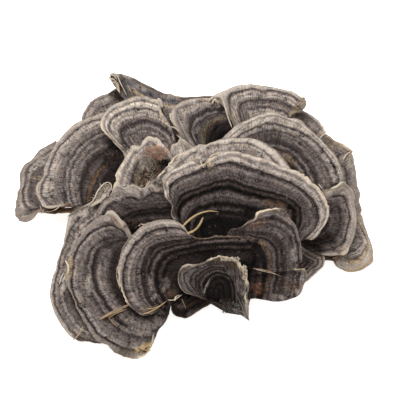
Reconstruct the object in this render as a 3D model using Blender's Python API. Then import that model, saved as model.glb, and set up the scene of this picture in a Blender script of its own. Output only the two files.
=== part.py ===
"""Dried turkey tail fungus: an open rosette of overlapping leathery brackets on one common base.

Metres, +Z up. The clump lies on the flat cut of its base, at Z = 0, with its open side towards -Y.

Outlines are written as they look along the line of sight, which comes from the front (-Y) and
SIGHT_ELEVATION above the horizon. A spot is (across, down, height): the first two in view units of
UNIT metres, the last a real height above the cut in millimetres. In sight coordinates u runs to the
right, v runs up the view and w runs towards the viewer.
"""

import math
from collections.abc import Iterable
from dataclasses import dataclass

import bmesh
import bpy
import numpy as np

MM = 0.001
CLUMP_WIDTH = 0.151  # over the widest brackets
VIEW_WIDTH = 359.0  # the same width in view units
UNIT = CLUMP_WIDTH / VIEW_WIDTH
VIEW_MIDDLE = (200.0, 245.0)  # the spot of the view that shows the middle of the cut
SIGHT_ELEVATION = math.radians(52.0)
SIGHT_SIN = math.sin(SIGHT_ELEVATION)
SIGHT_COS = math.cos(SIGHT_ELEVATION)

FACET = 5.2 * MM  # aimed length of a facet along a bracket's edge
FEWEST_FACETS, MOST_FACETS = 8, 32  # along the edge
RING_FACET = 6.8 * MM  # aimed length of a facet from the root to the edge
FEWEST_RINGS, MOST_RINGS = 3, 6
ROOT_REACH = 0.18  # a bracket's root end, as a share of the way from its hinge to its edge
ROOT_THICKNESS = 2.4 * MM
EDGE_THICKNESS = 1.3 * MM
ROOT_FILL = (0.32, 0.7)  # reaches between which a bracket thins from its full root to its plain sheet
DEEPEST_ROOT = 8 * MM  # how far a root may reach down to what the bracket grew on
ROOT_ROUNDS = 10
CLEARANCE = 0.5 * MM  # kept between pieces along the sight
CELL = 0.5 * MM  # of the skyline
SKY_HALF = (0.085, 0.085)  # half the skyline's width and height
FLAT = 1e-12  # square metres: a triangle that shows less than this has no cells
SETTLE_ROUNDS = 14
EASE_ROUNDS = 3  # how widely a lift spreads
LIP_START = 0.75  # how far out a bracket's lip starts to turn, as a share of the way to its edge
FINE_WAVE = (0.4, 2.3, 1.0)  # height and number of an edge's finer waves, against its main ones, and their lead

Spot = tuple[float, float, float]


@dataclass(frozen=True)
class Bracket:
    """One fan-shaped bracket, thin and leathery.

    Attributes:
        name: The piece's name.
        tone: Which finish of TONES it has.
        hinge: The spot that its growth lines run out from.
        edge: Spots along its outer edge, from one side to the other.
        dome: How far its middle bulges towards the viewer, in millimetres.
        lip: How far its edge turns towards the viewer, or away if negative, in millimetres.
        ruffle: Height of the waves along its edge, in millimetres.
        waves: How many waves its edge has.
        phase: Where the waves start, in turns.
    """

    name: str
    tone: str
    hinge: Spot
    edge: tuple[Spot, ...]
    dome: float = 1.0
    lip: float = -0.6
    ruffle: float = 0.7
    waves: float = 3.0
    phase: float = 0.0


# From the back of the pile to the front.
BRACKETS = (
    Bracket(
        "bracket_bottom_dark", "dark", (203, 286, 9),
        ((171, 300, 9), (172, 310, 7), (175, 316, 5.5), (184, 318, 4.5), (194, 314, 5),
         (204, 307, 6), (213, 303, 7)),
        ruffle=0.3,
    ),
    Bracket(
        "bracket_far_left", "pale", (106, 193, 9),
        ((56, 141, 19), (40, 150, 18), (28, 162, 16.5), (21, 170, 15.5), (19, 188, 13),
         (15, 207, 11), (19, 220, 9.5), (33, 219, 10), (44, 211, 11)),
        waves=2, ruffle=0.9,
    ),
    Bracket(
        "bracket_lower_left_back", "taupe", (114, 262, 10),
        ((112, 184, 22), (102, 192, 19), (90, 202, 16.5), (72, 211, 14), (67, 224, 12),
         (61, 252, 8.5), (53, 278, 5.5), (51, 300, 4), (61, 324, 2.6), (76, 339, 1.9),
         (92, 342, 1.8), (108, 343, 2)),
        dome=-0.5, waves=4,
    ),
    Bracket(
        "bracket_behind_left", "taupe", (142, 170, 17),
        ((80, 123, 27), (84, 111, 29), (92, 100, 31), (106, 94, 33), (118, 88, 34), (130, 91, 33)),
        ruffle=0.4,
    ),
    Bracket(
        "bracket_behind_right", "dark", (262, 172, 15),
        ((284, 117, 29), (297, 110, 30), (308, 112, 29), (319, 121, 28), (327, 132, 26)),
        ruffle=0.4,
    ),
    Bracket(
        "bracket_right_back", "pale", (276, 190, 11),
        ((320, 130, 24), (334, 139, 23), (346, 145, 22), (353, 151, 21), (348, 160, 19)),
        ruffle=0.4, waves=2,
    ),
    Bracket(
        "bracket_top_curled", "pale", (170, 165, 18),
        ((119, 93, 32), (117, 85, 36), (110, 80, 39), (110, 75, 41), (120, 73, 41),
         (132, 77, 40), (146, 85, 39), (162, 92, 38), (180, 96, 37), (200, 96, 36), (216, 94, 36)),
        dome=1.5,
    ),
    Bracket(
        "bracket_right_edge", "pale", (288, 208, 9),
        ((342, 156, 19), (352, 154, 19), (356, 170, 17), (359, 192, 14), (361, 210, 11.5),
         (356, 222, 10)),
        ruffle=0.4,
    ),
    Bracket(
        "bracket_far_right", "pale", (302, 232, 8),
        ((350, 212, 12), (360, 214, 12), (366, 231, 10), (372, 247, 8), (372, 262, 6.5),
         (360, 270, 6), (346, 271, 6), (336, 260, 7)),
        waves=2,
    ),
    Bracket(
        "bracket_small_right", "dark", (290, 258, 8),
        ((294, 238, 13), (303, 243, 13), (312, 249, 13), (322, 255, 12), (322, 265, 11), (315, 274, 10),
         (305, 281, 9), (294, 284, 8)),
        ruffle=0.3,
    ),
    Bracket(
        "bracket_right", "taupe", (284, 218, 18),
        ((320, 190, 24), (332, 189, 24), (343, 183, 24), (352, 190, 22), (355, 204, 20),
         (357, 215, 18), (353, 236, 15), (347, 251, 13), (334, 256, 12.5), (316, 253, 13), (300, 246, 14)),
    ),
    Bracket(
        "bracket_top_right", "taupe", (255, 162, 23),
        ((236, 146, 28), (232, 130, 32), (227, 117, 34), (219, 100, 37), (222, 92, 39), (235, 86, 40),
         (250, 83, 40), (268, 86, 39), (287, 91, 38), (300, 95, 37), (307, 101, 36),
         (303, 110, 34), (291, 116, 32)),
        waves=4,
    ),
    Bracket(
        "bracket_top_middle", "dark", (205, 165, 24),
        ((170, 162, 27), (182, 146, 30), (178, 134, 33), (172, 121, 36), (171, 110, 38), (178, 104, 39),
         (190, 99, 40), (202, 98, 40), (214, 99, 39), (224, 107, 36), (231, 120, 33), (240, 140, 29)),
        dome=0.5,
    ),
    Bracket(
        "bracket_left", "dark", (134, 188, 19),
        ((130, 128, 30), (117, 117, 32), (104, 113, 33), (92, 117, 32), (78, 122, 30), (66, 131, 28),
         (56, 143, 25.5), (49, 156, 23), (44, 167, 21), (43, 178, 20), (37, 186, 18.5), (38, 199, 16.5),
         (46, 208, 15), (61, 207, 15), (76, 207, 15.5), (98, 200, 17)),
        dome=0.5, waves=4,
    ),
    Bracket(
        "bracket_upper_left", "taupe", (150, 168, 26),
        ((128, 168, 28), (124, 155, 31), (112, 141, 33), (103, 131, 34), (101, 120, 35), (107, 109, 36),
         (118, 102, 37), (134, 97, 38), (148, 97, 38), (160, 101, 38), (161, 111, 37),
         (170, 124, 36), (175, 136, 34), (176, 148, 31), (176, 160, 28)),
        waves=4,
    ),
    Bracket(
        "bracket_small_crumpled", "pale", (190, 182, 27),
        ((168, 153, 31), (172, 145, 33), (181, 140, 34), (190, 144, 33), (197, 150, 32)),
        ruffle=0.5, waves=2,
    ),
    Bracket(
        "bracket_small_ruffled", "pale", (160, 196, 26),
        ((112, 191, 25), (117, 179, 27), (122, 164, 29), (131, 150, 31), (144, 140, 32),
         (155, 136, 33), (163, 143, 32), (170, 151, 31), (176, 164, 29), (178, 180, 28)),
    ),
    Bracket(
        "bracket_right_large", "taupe", (258, 192, 25),
        ((222, 140, 34), (232, 129, 36), (245, 121, 37), (258, 115, 38), (272, 111, 38),
         (287, 117, 37), (300, 120, 36), (313, 132, 34.5), (326, 144, 32.5), (336, 158, 30.5),
         (342, 175, 28), (338, 186, 26), (322, 189, 25)),
        waves=4, ruffle=0.9,
    ),
    Bracket(
        "bracket_lower_left", "taupe", (154, 284, 14),
        ((132, 235, 21), (123, 221, 22), (111, 212, 22), (99, 217, 20), (87, 228, 18),
         (75, 243, 15), (68, 262, 12), (67, 281, 9), (76, 303, 6.5), (87, 325, 4.3),
         (98, 340, 3), (107, 344, 2.7), (115, 351, 2.1), (129, 356, 1.6), (143, 356, 1.6),
         (151, 348, 2.2), (157, 334, 4.5), (168, 316, 8), (172, 302, 11)),
        dome=1.5, waves=5,
    ),
    Bracket(
        "bracket_middle_left", "dark", (185, 236, 25),
        ((97, 214, 20), (101, 204, 23), (109, 196, 25.5), (122, 188, 27.5), (137, 187, 29),
         (142, 190, 29), (151, 184, 30), (164, 186, 30.5), (174, 196, 30.5)),
        waves=4,
    ),
    Bracket(
        "bracket_middle_upper", "dark", (226, 218, 26),
        ((158, 181, 31), (166, 168, 33), (178, 155, 35), (190, 149, 36), (205, 145, 37),
         (222, 139, 38), (240, 138, 38), (256, 139, 38), (270, 146, 37), (282, 158, 36),
         (290, 169, 35)),
        dome=0.5, waves=4,
    ),
    Bracket(
        "bracket_middle", "dark", (230, 258, 24),
        ((200, 264, 22), (179, 242, 24), (167, 216, 28), (161, 196, 32), (164, 180, 34),
         (177, 167, 36), (192, 161, 37), (203, 168, 37), (208, 158, 38), (225, 151, 38.5),
         (242, 153, 39), (260, 158, 39), (280, 165, 38), (300, 174, 37), (318, 187, 35.5),
         (326, 200, 33.5), (328, 214, 31.5), (322, 228, 29.5), (311, 240, 28), (299, 236, 28),
         (285, 245, 28)),
        dome=1.5, waves=6, ruffle=0.9,
    ),
    Bracket(
        "bracket_front_right", "brown", (236, 276, 23),
        ((224, 240, 34), (229, 231, 35), (240, 227, 35.5), (249, 219, 36), (258, 212, 37), (270, 208, 37.5),
         (282, 210, 37), (289, 218, 36), (297, 229, 34.5), (301, 245, 32), (301, 259, 29),
         (295, 269, 27.5), (303, 268, 26), (305, 278, 23.5), (299, 293, 20), (281, 300, 18.5),
         (262, 299, 19.5), (246, 297, 21)),
        dome=1.5, waves=5,
    ),
    Bracket(
        "bracket_front_left", "brown", (216, 276, 23),
        ((252, 268, 28), (252, 250, 32), (243, 238, 34), (228, 236, 34), (210, 236, 33),
         (197, 238, 32.5), (189, 233, 32), (183, 225, 32), (172, 219, 31.5),
         (158, 220, 30.5), (142, 226, 29), (130, 237, 27), (121, 252, 24.5), (118, 272, 21.5),
         (122, 289, 18.5), (130, 305, 16), (143, 314, 14), (153, 313, 14.5), (162, 305, 16.5),
         (173, 297, 19)),
        dome=1.5, waves=5,
    ),
    Bracket(
        "bracket_front_small", "pale", (228, 306, 6),
        ((207, 294, 18), (196, 294, 22), (184, 291, 26), (178, 278, 31), (184, 265, 34.5),
         (195, 264, 36), (205, 261, 37), (213, 257, 38.5), (224, 256, 39), (236, 259, 37.5),
         (243, 267, 33.5), (248, 280, 28), (247, 297, 17), (248, 310, 8), (249, 320, 2)),
        dome=2.0, ruffle=0.5,
    ),
)

# The base: its footprint on the cut, anticlockwise from above, as real places in millimetres.
FOOTPRINT = (
    (-14, -30), (-4, -30.5), (5, -31.5), (11, -36), (16, -37), (19.5, -37.5), (21, -29),
    (26, -22.5), (33, -18), (39, -12), (43, -4), (43, 9), (38, 23), (25, 36), (1, 41), (-22, 38),
    (-36, 27), (-43, 14), (-45, 1), (-43, -10), (-36, -22), (-25, -29),
)
BASE_MIDDLE = (1.0, 1.0)  # its highest spot, in millimetres
BASE_RINGS = (  # (share of the way out from the highest spot, height in millimetres)
    (1.0, 0.0), (1.0, 3.0), (0.95, 8.0), (0.86, 13.5), (0.73, 18.5), (0.55, 22.5), (0.35, 25.0),
    (0.15, 26.5),
)
BASE_LUMP = 1.1  # height of its lumps, in millimetres
LUMP_TURNS = (2.1, 1.7)  # how a lump differs from the next one around the base and the next one up, in radians
LUMP_RISE = 0.6  # how much of a lump also goes up
BASE_CROWN = 0.5  # how far the highest spot stands above the last ring, in millimetres

GRASS_LIFT = 0.6 * MM  # of a grass blade above what it lies on


@dataclass(frozen=True)
class Blade:
    """A dry blade or stalk of grass that lies on the brackets.

    Attributes:
        name: The piece's name.
        radius: Half its thickness, in millimetres.
        course: (across, down, rise) along it, rise in millimetres above what it lies on.
    """

    name: str
    radius: float
    course: tuple[Spot, ...]


BLADES = (
    Blade("grass_curl_upper", 0.7,
          ((183, 226, 0.3), (188, 221, 1.2), (196, 215, 2.2), (208, 211, 2), (219, 212, 0.6))),
    Blade("grass_curl_lower", 0.6,
          ((203, 217, 0.3), (201, 222, 0.3), (198, 227, 0.4), (193, 231, 0.8), (187, 233, 0.5))),
    Blade("grass_stalk_left", 0.7,
          ((101, 318, 0.3), (111, 312, 0.4), (121, 307, 0.8), (131, 303, 1.2))),
    Blade("grass_stalk_corner", 0.5, ((74, 339, 0.3), (80, 333, 0.3), (84, 325, 0.3))),
    Blade("grass_fibre_front", 0.45,
          ((252, 268, 0.3), (262, 269, 0.4), (272, 272, 0.6), (281, 276, 0.3))),
)
BLADE_SIDES = 6
BLADE_STEP = 1.6 * MM  # aimed length of a blade's straight bits
BLADE_SEAT = 2.5  # how far beside a blade's middle the pile counts as beneath it, in radii
BLADE_EASE = 2  # how often a blade is lifted clear of its hollows
BLADE_TIP = 0.15  # the square of a blade's thickness at its ends, against its middle
BLADE_TAPER = 4  # how late a blade thins towards its ends

TUFT_HOST = "bracket_small_ruffled"  # the bracket that the litter tuft is caught on
TUFT_MIDDLE = (157.0, 152.0)  # the litter tuft, in view units
TUFT_SIZE = (4.2, 3.0, 1.6)  # half its width and depth across the view and towards the viewer, in mm
TUFT_SIDES, TUFT_RINGS = 10, 3
TUFT_LUMP = 0.12  # height of its lumps, as a share of its size
TUFT_TURN = 2.4  # how a lump differs from the next one around it, in radians

TONES = {  # (red, green, blue), roughness
    "taupe": ((0.28, 0.24, 0.20), 0.85),
    "pale": ((0.45, 0.38, 0.29), 0.85),
    "dark": ((0.10, 0.085, 0.08), 0.9),
    "brown": ((0.17, 0.13, 0.10), 0.9),
    "base": ((0.055, 0.055, 0.045), 0.95),
    "grass": ((0.46, 0.36, 0.20), 0.7),
    "litter": ((0.30, 0.15, 0.10), 0.95),
}


def sight_place(spots: Iterable[Spot]) -> np.ndarray:
    """Turns spots of the view with their heights into sight coordinates.

    Args:
        spots: (across, down, height) of each.

    Returns:
        One row (u, v, w) for each, in metres.
    """
    spots = np.array(spots, dtype=float)
    u = (spots[:, 0] - VIEW_MIDDLE[0]) * UNIT
    v = (VIEW_MIDDLE[1] - spots[:, 1]) * UNIT
    w = (spots[:, 2] * MM - v * SIGHT_COS) / SIGHT_SIN
    return np.stack((u, v, w), axis=1)


def from_sight(points: np.ndarray) -> np.ndarray:
    """Turns sight coordinates (..., 3) into world coordinates."""
    u, v, w = np.moveaxis(points, -1, 0)
    return np.stack((u, v * SIGHT_SIN - w * SIGHT_COS, v * SIGHT_COS + w * SIGHT_SIN), axis=-1)


def to_sight(points: np.ndarray) -> np.ndarray:
    """Turns world coordinates (..., 3) into sight coordinates."""
    x, y, z = np.moveaxis(points, -1, 0)
    return np.stack((x, y * SIGHT_SIN + z * SIGHT_COS, z * SIGHT_SIN - y * SIGHT_COS), axis=-1)


def smooth_curve(points: np.ndarray, steps: int = 12) -> np.ndarray:
    """A centripetal Catmull-Rom curve through points, with steps straight bits between each two."""
    ends = (2 * points[0] - points[1], 2 * points[-1] - points[-2])
    p = np.vstack((ends[0], points, ends[1]))
    found = [points[0]]
    for a, b, c, d in zip(p, p[1:], p[2:], p[3:]):
        t1 = math.sqrt(np.linalg.norm(b - a))
        t2 = t1 + math.sqrt(np.linalg.norm(c - b))
        t3 = t2 + math.sqrt(np.linalg.norm(d - c))
        for t in np.linspace(t1, t2, steps + 1)[1:]:
            ab = (a * (t1 - t) + b * t) / t1
            bc = (b * (t2 - t) + c * (t - t1)) / (t2 - t1)
            cd = (c * (t3 - t) + d * (t - t2)) / (t3 - t2)
            abc = (ab * (t2 - t) + bc * t) / t2
            bcd = (bc * (t3 - t) + cd * (t - t1)) / (t3 - t1)
            found.append((abc * (t2 - t) + bcd * (t - t1)) / (t2 - t1))
    return np.array(found)


def along(curve: np.ndarray, shares: np.ndarray) -> np.ndarray:
    """Points of a curve at the given shares of its length across the view."""
    lengths = np.linalg.norm(np.diff(curve[:, :2], axis=0), axis=1)
    run = np.concatenate(((0.0,), np.cumsum(lengths)))
    return np.stack([np.interp(shares * run[-1], run, curve[:, k]) for k in range(3)], axis=1)


def grid_of(bracket: Bracket) -> tuple[int, int]:
    """How many facets a bracket has along its edge and from its root to its edge."""
    edge = smooth_curve(sight_place(bracket.edge))
    hinge = sight_place([bracket.hinge])[0]
    length = np.linalg.norm(np.diff(edge[:, :2], axis=0), axis=1).sum()
    reach = np.linalg.norm(edge[:, :2] - hinge[:2], axis=1).mean()
    around = min(max(round(length / FACET), FEWEST_FACETS), MOST_FACETS)
    rings = min(max(round(reach / RING_FACET), FEWEST_RINGS), MOST_RINGS)
    return around, rings


def upper_side(bracket: Bracket, shares: np.ndarray, reaches: np.ndarray) -> np.ndarray:
    """A bracket's upper side, in sight coordinates, before it settles on what lies behind it.

    Args:
        bracket: The bracket.
        shares: Places along its edge, from 0 to 1.
        reaches: Places from its hinge (0) to its edge (1).

    Returns:
        An array (shares, reaches, 3).
    """
    edge = along(smooth_curve(sight_place(bracket.edge)), shares)
    hinge = sight_place([bracket.hinge])[0]
    reach = reaches[None, :, None]
    points = hinge + (edge[:, None, :] - hinge) * reach
    t = reaches[None, :]
    bulge = bracket.dome * 4 * t * (1 - t)
    lip = bracket.lip * np.clip((t - LIP_START) / (1 - LIP_START), 0, 1) ** 2
    turn = 2 * math.pi * (bracket.waves * shares[:, None] + bracket.phase)
    height, number, lead = FINE_WAVE
    waves = bracket.ruffle * t**2 * (np.sin(turn) + height * np.sin(number * turn + lead))
    points[..., 2] += (bulge + lip + waves) * MM
    return points


def thickness_at(reaches: np.ndarray) -> np.ndarray:
    """A bracket's thickness from its hinge (0) to its edge (1)."""
    return ROOT_THICKNESS + (EDGE_THICKNESS - ROOT_THICKNESS) * reaches


class Skyline:
    """How near the viewer the pile comes at each small cell of the view."""

    def __init__(self) -> None:
        """Starts with the ground, which is as far along the sight as the cut's plane."""
        self.u = np.arange(-SKY_HALF[0], SKY_HALF[0], CELL)
        self.v = np.arange(-SKY_HALF[1], SKY_HALF[1], CELL)
        self.depth = np.tile(-self.v * SIGHT_COS / SIGHT_SIN, (len(self.u), 1))

    def cells(self, corners: np.ndarray) -> tuple[tuple[np.ndarray, np.ndarray], np.ndarray]:
        """The cells that a triangle covers, a little more than in full, and its depth at each."""
        low = np.floor((corners[:, :2].min(0) + SKY_HALF) / CELL).astype(int)
        high = np.ceil((corners[:, :2].max(0) + SKY_HALF) / CELL).astype(int) + 1
        i, j = (a.ravel() for a in np.meshgrid(*(np.arange(a, b) for a, b in zip(low, high)), indexing="ij"))
        a, b, c = corners
        side_b, side_c = b - a, c - a
        area = side_b[0] * side_c[1] - side_b[1] * side_c[0]
        if abs(area) < FLAT:
            return (i[:0], j[:0]), np.zeros(0)
        du, dv = self.u[i] - a[0], self.v[j] - a[1]
        share_b = (du * side_c[1] - dv * side_c[0]) / area
        share_c = (side_b[0] * dv - side_b[1] * du) / area
        slack = CELL * max(np.linalg.norm(side_b[:2]), np.linalg.norm(side_c[:2])) / abs(area)
        near = (share_b > -slack) & (share_c > -slack) & (share_b + share_c < 1 + slack)
        depth = a[2] + share_b * side_b[2] + share_c * side_c[2]
        depth = np.clip(depth, corners[:, 2].min(), corners[:, 2].max())
        return (i[near], j[near]), depth[near]

    def add(self, triangles: np.ndarray) -> None:
        """Adds triangles (n, 3, 3) to the pile."""
        for corners in triangles:
            where, depth = self.cells(corners)
            self.depth[where] = np.maximum(self.depth[where], depth)

    def shortfall(self, corners: np.ndarray) -> float:
        """How far a triangle must come nearer to clear the pile."""
        where, depth = self.cells(corners)
        return float((self.depth[where] + CLEARANCE - depth).max(initial=0.0))


def grid_triangles(points: np.ndarray) -> tuple[np.ndarray, np.ndarray]:
    """Triangles of a grid (a, b, 3): their corners (n, 3, 3) and the corners' numbers (n, 3)."""
    a, b = points.shape[:2]
    number = np.arange(a * b).reshape(a, b)
    quads = np.stack((number[:-1, :-1], number[1:, :-1], number[1:, 1:], number[:-1, 1:]), axis=-1)
    quads = quads.reshape(-1, 4)
    corners = np.concatenate((quads[:, [0, 1, 2]], quads[:, [0, 2, 3]]))
    return points.reshape(-1, 3)[corners], corners


def eased(lift: np.ndarray) -> np.ndarray:
    """Raises a grid of lifts around its peaks, so that a sheet bends over them and doesn't fold."""
    for _ in range(EASE_ROUNDS):
        padded = np.pad(lift, 1, mode="edge")
        around = padded[:-2, 1:-1] + padded[2:, 1:-1] + padded[1:-1, :-2] + padded[1:-1, 2:]
        lift = np.maximum(lift, (around + lift) / 5)
    return lift


def settle(sky: Skyline, upper: np.ndarray, thickness: np.ndarray) -> float:
    """Lifts a sheet towards the viewer where it would cut into the pile.

    Args:
        sky: The pile so far.
        upper: The sheet's upper side (a, b, 3), changed in place.
        thickness: The sheet's thickness at each of the b places.

    Returns:
        The greatest lift.
    """
    total = np.zeros(upper.shape[:2])
    for _ in range(SETTLE_ROUNDS):
        lower = upper.copy()
        lower[..., 2] += total - thickness[None, :]
        corners, numbers = grid_triangles(lower)
        lift = np.zeros(total.size)
        for triangle, three in zip(corners, numbers):
            short = sky.shortfall(triangle)
            if short > 0:
                lift[three] = np.maximum(lift[three], short)
        if not lift.any():
            break
        total = eased(total + lift.reshape(total.shape))
    upper[..., 2] += total
    return float(total.max())


def rooted(sky: Skyline, upper: np.ndarray, reaches: np.ndarray) -> np.ndarray:
    """The underside of a settled bracket: near its root it reaches down to what the bracket grew on.

    Args:
        sky: The pile beneath the bracket.
        upper: The bracket's upper side (a, b, 3).
        reaches: The b places from its hinge (0) to its edge (1).

    Returns:
        The lower side (a, b, 3).
    """
    lower = upper.copy()
    lower[..., 2] -= thickness_at(reaches)[None, :]
    i = np.round((upper[..., 0] + SKY_HALF[0]) / CELL).astype(int)
    j = np.round((upper[..., 1] + SKY_HALF[1]) / CELL).astype(int)
    gap = np.clip(lower[..., 2] - sky.depth[i, j] - CLEARANCE, 0, DEEPEST_ROOT)
    share = np.clip((ROOT_FILL[1] - reaches) / (ROOT_FILL[1] - ROOT_FILL[0]), 0, 1)
    root = gap * (share * share * (3 - 2 * share))[None, :]
    for _ in range(ROOT_ROUNDS):
        filled = lower.copy()
        filled[..., 2] -= root
        corners, numbers = grid_triangles(filled)
        short = np.zeros(root.size)
        for triangle, three in zip(corners, numbers):
            short[three] = np.maximum(short[three], sky.shortfall(triangle))
        if not short.any():
            break
        root = np.maximum(root - short.reshape(root.shape), 0.0)
    lower[..., 2] -= root
    return lower


def add_piece(name: str, tone: str, points: np.ndarray, faces: list[tuple[int, ...]]) -> bpy.types.Object:
    """Makes one closed piece of the scene.

    Args:
        name: The piece's name.
        tone: Which finish of TONES it has.
        points: Its corners in world coordinates.
        faces: The numbers of each face's corners.

    Returns:
        The new object.
    """
    mesh = bpy.data.meshes.new(name)
    mesh.from_pydata(points.tolist(), [], faces)
    tidy = bmesh.new()
    tidy.from_mesh(mesh)
    bmesh.ops.recalc_face_normals(tidy, faces=tidy.faces)
    tidy.to_mesh(mesh)
    tidy.free()
    piece = bpy.data.objects.new(name, mesh)
    bpy.context.scene.collection.objects.link(piece)
    mesh.materials.append(finish(tone))
    return piece


def finish(tone: str) -> bpy.types.Material:
    """The material of a tone, made once."""
    material = bpy.data.materials.get(tone)
    if material is None:
        colour, roughness = TONES[tone]
        material = bpy.data.materials.new(tone)
        material.use_nodes = True
        shader = material.node_tree.nodes["Principled BSDF"]
        shader.inputs["Base Color"].default_value = (*colour, 1.0)
        shader.inputs["Roughness"].default_value = roughness
        shader.inputs["Metallic"].default_value = 0.0
    return material


def build_bracket(bracket: Bracket, sky: Skyline) -> float:
    """Models one bracket as a thin closed shell on the pile so far, and returns its greatest lift."""
    around, rings = grid_of(bracket)
    reaches = np.linspace(ROOT_REACH, 1.0, rings + 1)
    upper = upper_side(bracket, np.linspace(0.0, 1.0, around + 1), reaches)
    lift = settle(sky, upper, thickness_at(reaches))
    lower = rooted(sky, upper, reaches)
    sky.add(grid_triangles(upper)[0])
    count = upper.shape[0] * upper.shape[1]
    top = grid_triangles(upper)[1]
    faces = [tuple(int(k) for k in three) for three in top]
    faces += [tuple(int(k) + count for k in three[::-1]) for three in top]
    number = np.arange(count).reshape(upper.shape[:2])
    border = [*number[:, 0], *number[-1, 1:], *number[-2::-1, -1], *number[0, -2:0:-1]]
    for a, b in zip(border, border[1:] + border[:1]):
        faces.append((int(a), int(b), int(b) + count, int(a) + count))
    points = np.vstack((upper.reshape(-1, 3), lower.reshape(-1, 3)))
    add_piece(bracket.name, bracket.tone, from_sight(points), faces)
    return lift


def build_base(sky: Skyline) -> None:
    """Models the common base: a lumpy low mound, flat where it was cut from the log."""
    foot = np.array(FOOTPRINT) * MM
    middle = np.array(BASE_MIDDLE) * MM
    sides = len(FOOTPRINT)
    points = []
    for level, (share, height) in enumerate(BASE_RINGS):
        for k, place in enumerate(foot):
            lump = BASE_LUMP * MM * math.sin(LUMP_TURNS[0] * k + LUMP_TURNS[1] * level) if level else 0.0
            out = middle + (place - middle) * share
            outward = (place - middle) / np.linalg.norm(place - middle)
            x, y = out + outward * lump
            points.append((x, y, height * MM + (LUMP_RISE * lump if level > 1 else 0.0)))
    peak = len(points)
    points.append((*middle, (BASE_RINGS[-1][1] + BASE_CROWN) * MM))
    faces = [tuple(range(sides))]
    for level in range(len(BASE_RINGS) - 1):
        for k in range(sides):
            a, b = level * sides + k, level * sides + (k + 1) % sides
            faces += [(a, b, b + sides), (a, b + sides, a + sides)]
    last = peak - sides
    faces += [(last + k, last + (k + 1) % sides, peak) for k in range(sides)]
    points = np.array(points)
    add_piece("attachment_base", "base", points, faces)
    shown = to_sight(points)
    sky.add(np.array([shown[list(face)] for face in faces[1:]]))


def build_blade(blade: Blade, sky: Skyline) -> None:
    """Models a grass blade as a thin rod that follows the pile beneath it."""
    course = smooth_curve(sight_place(blade.course))
    length = np.linalg.norm(np.diff(course[:, :2], axis=0), axis=1).sum()
    count = max(round(length / BLADE_STEP), 3)
    shares = np.linspace(0.0, 1.0, count + 1)
    middle = along(course, shares)
    rise = np.interp(shares, np.linspace(0, 1, len(blade.course)), [spot[2] for spot in blade.course])
    radius = blade.radius * MM
    i = np.round((middle[:, 0] + SKY_HALF[0]) / CELL).astype(int)
    j = np.round((middle[:, 1] + SKY_HALF[1]) / CELL).astype(int)
    beside = math.ceil(BLADE_SEAT * radius / CELL)
    under = [sky.depth[a - beside:a + beside + 1, b - beside:b + beside + 1].max() for a, b in zip(i, j)]
    middle[:, 2] = np.array(under) + radius + GRASS_LIFT + rise * MM
    for _ in range(BLADE_EASE):
        middle[1:-1, 2] = np.maximum(middle[1:-1, 2], (middle[:-2, 2] + middle[2:, 2]) / 2)
    heading = np.gradient(middle, axis=0)
    heading /= np.linalg.norm(heading, axis=1)[:, None]
    side = np.cross(heading, (0.0, 0.0, 1.0))
    side /= np.linalg.norm(side, axis=1)[:, None]
    rise_way = np.cross(side, heading)
    turns = np.linspace(0, 2 * math.pi, BLADE_SIDES, endpoint=False)
    taper = radius * np.sqrt(np.clip(1 + BLADE_TIP - np.abs(2 * shares - 1) ** BLADE_TAPER, BLADE_TIP, 1))
    points = [
        centre + size * (math.cos(turn) * across + math.sin(turn) * up)
        for centre, across, up, size in zip(middle, side, rise_way, taper)
        for turn in turns
    ]
    faces = [tuple(range(BLADE_SIDES)), tuple(range(len(points) - BLADE_SIDES, len(points)))]
    for ring in range(count):
        for k in range(BLADE_SIDES):
            a, b = ring * BLADE_SIDES + k, ring * BLADE_SIDES + (k + 1) % BLADE_SIDES
            faces.append((a, b, b + BLADE_SIDES, a + BLADE_SIDES))
    add_piece(blade.name, "grass", from_sight(np.array(points)), faces)


def build_tuft(sky: Skyline) -> None:
    """Models the litter tuft as a small lump caught on its host bracket."""
    half_wide, half_tall, half_deep = (size * MM for size in TUFT_SIZE)
    u, v, _ = sight_place([(*TUFT_MIDDLE, 0.0)])[0]
    near = (np.abs(sky.u - u) < half_wide)[:, None] & (np.abs(sky.v - v) < half_tall)[None, :]
    depth = sky.depth[near].max() + CLEARANCE + half_deep
    points = [(u, v, depth - half_deep)]
    for ring in range(1, TUFT_RINGS + 1):
        lean = math.pi * ring / (TUFT_RINGS + 1)
        for k in range(TUFT_SIDES):
            turn = 2 * math.pi * k / TUFT_SIDES
            lump = 1.0 + TUFT_LUMP * math.sin(TUFT_TURN * k + ring)
            points.append((
                u + half_wide * math.sin(lean) * math.cos(turn) * lump,
                v + half_tall * math.sin(lean) * math.sin(turn) * lump,
                depth - half_deep * math.cos(lean),
            ))
    points.append((u, v, depth + half_deep))
    faces = [(0, 1 + k, 1 + (k + 1) % TUFT_SIDES) for k in range(TUFT_SIDES)]
    for ring in range(TUFT_RINGS - 1):
        for k in range(TUFT_SIDES):
            a, b = (1 + ring * TUFT_SIDES + n for n in (k, (k + 1) % TUFT_SIDES))
            faces.append((a, b, b + TUFT_SIDES, a + TUFT_SIDES))
    last = len(points) - 1
    ring = last - TUFT_SIDES
    faces += [(last, ring + k, ring + (k + 1) % TUFT_SIDES) for k in range(TUFT_SIDES)]
    add_piece("litter_tuft", "litter", from_sight(np.array(points)), faces)


def main() -> None:
    """Clears the scene and builds the clump from the back of the pile to the front."""
    for old in list(bpy.data.objects):
        bpy.data.objects.remove(old, do_unlink=True)
    sky = Skyline()
    build_base(sky)
    for bracket in BRACKETS:
        lift = build_bracket(bracket, sky)
        print(f"{bracket.name}: lifted by up to {lift / MM:.1f} mm")
        if bracket.name == TUFT_HOST:
            build_tuft(sky)
    for blade in BLADES:
        build_blade(blade, sky)


main()
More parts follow.
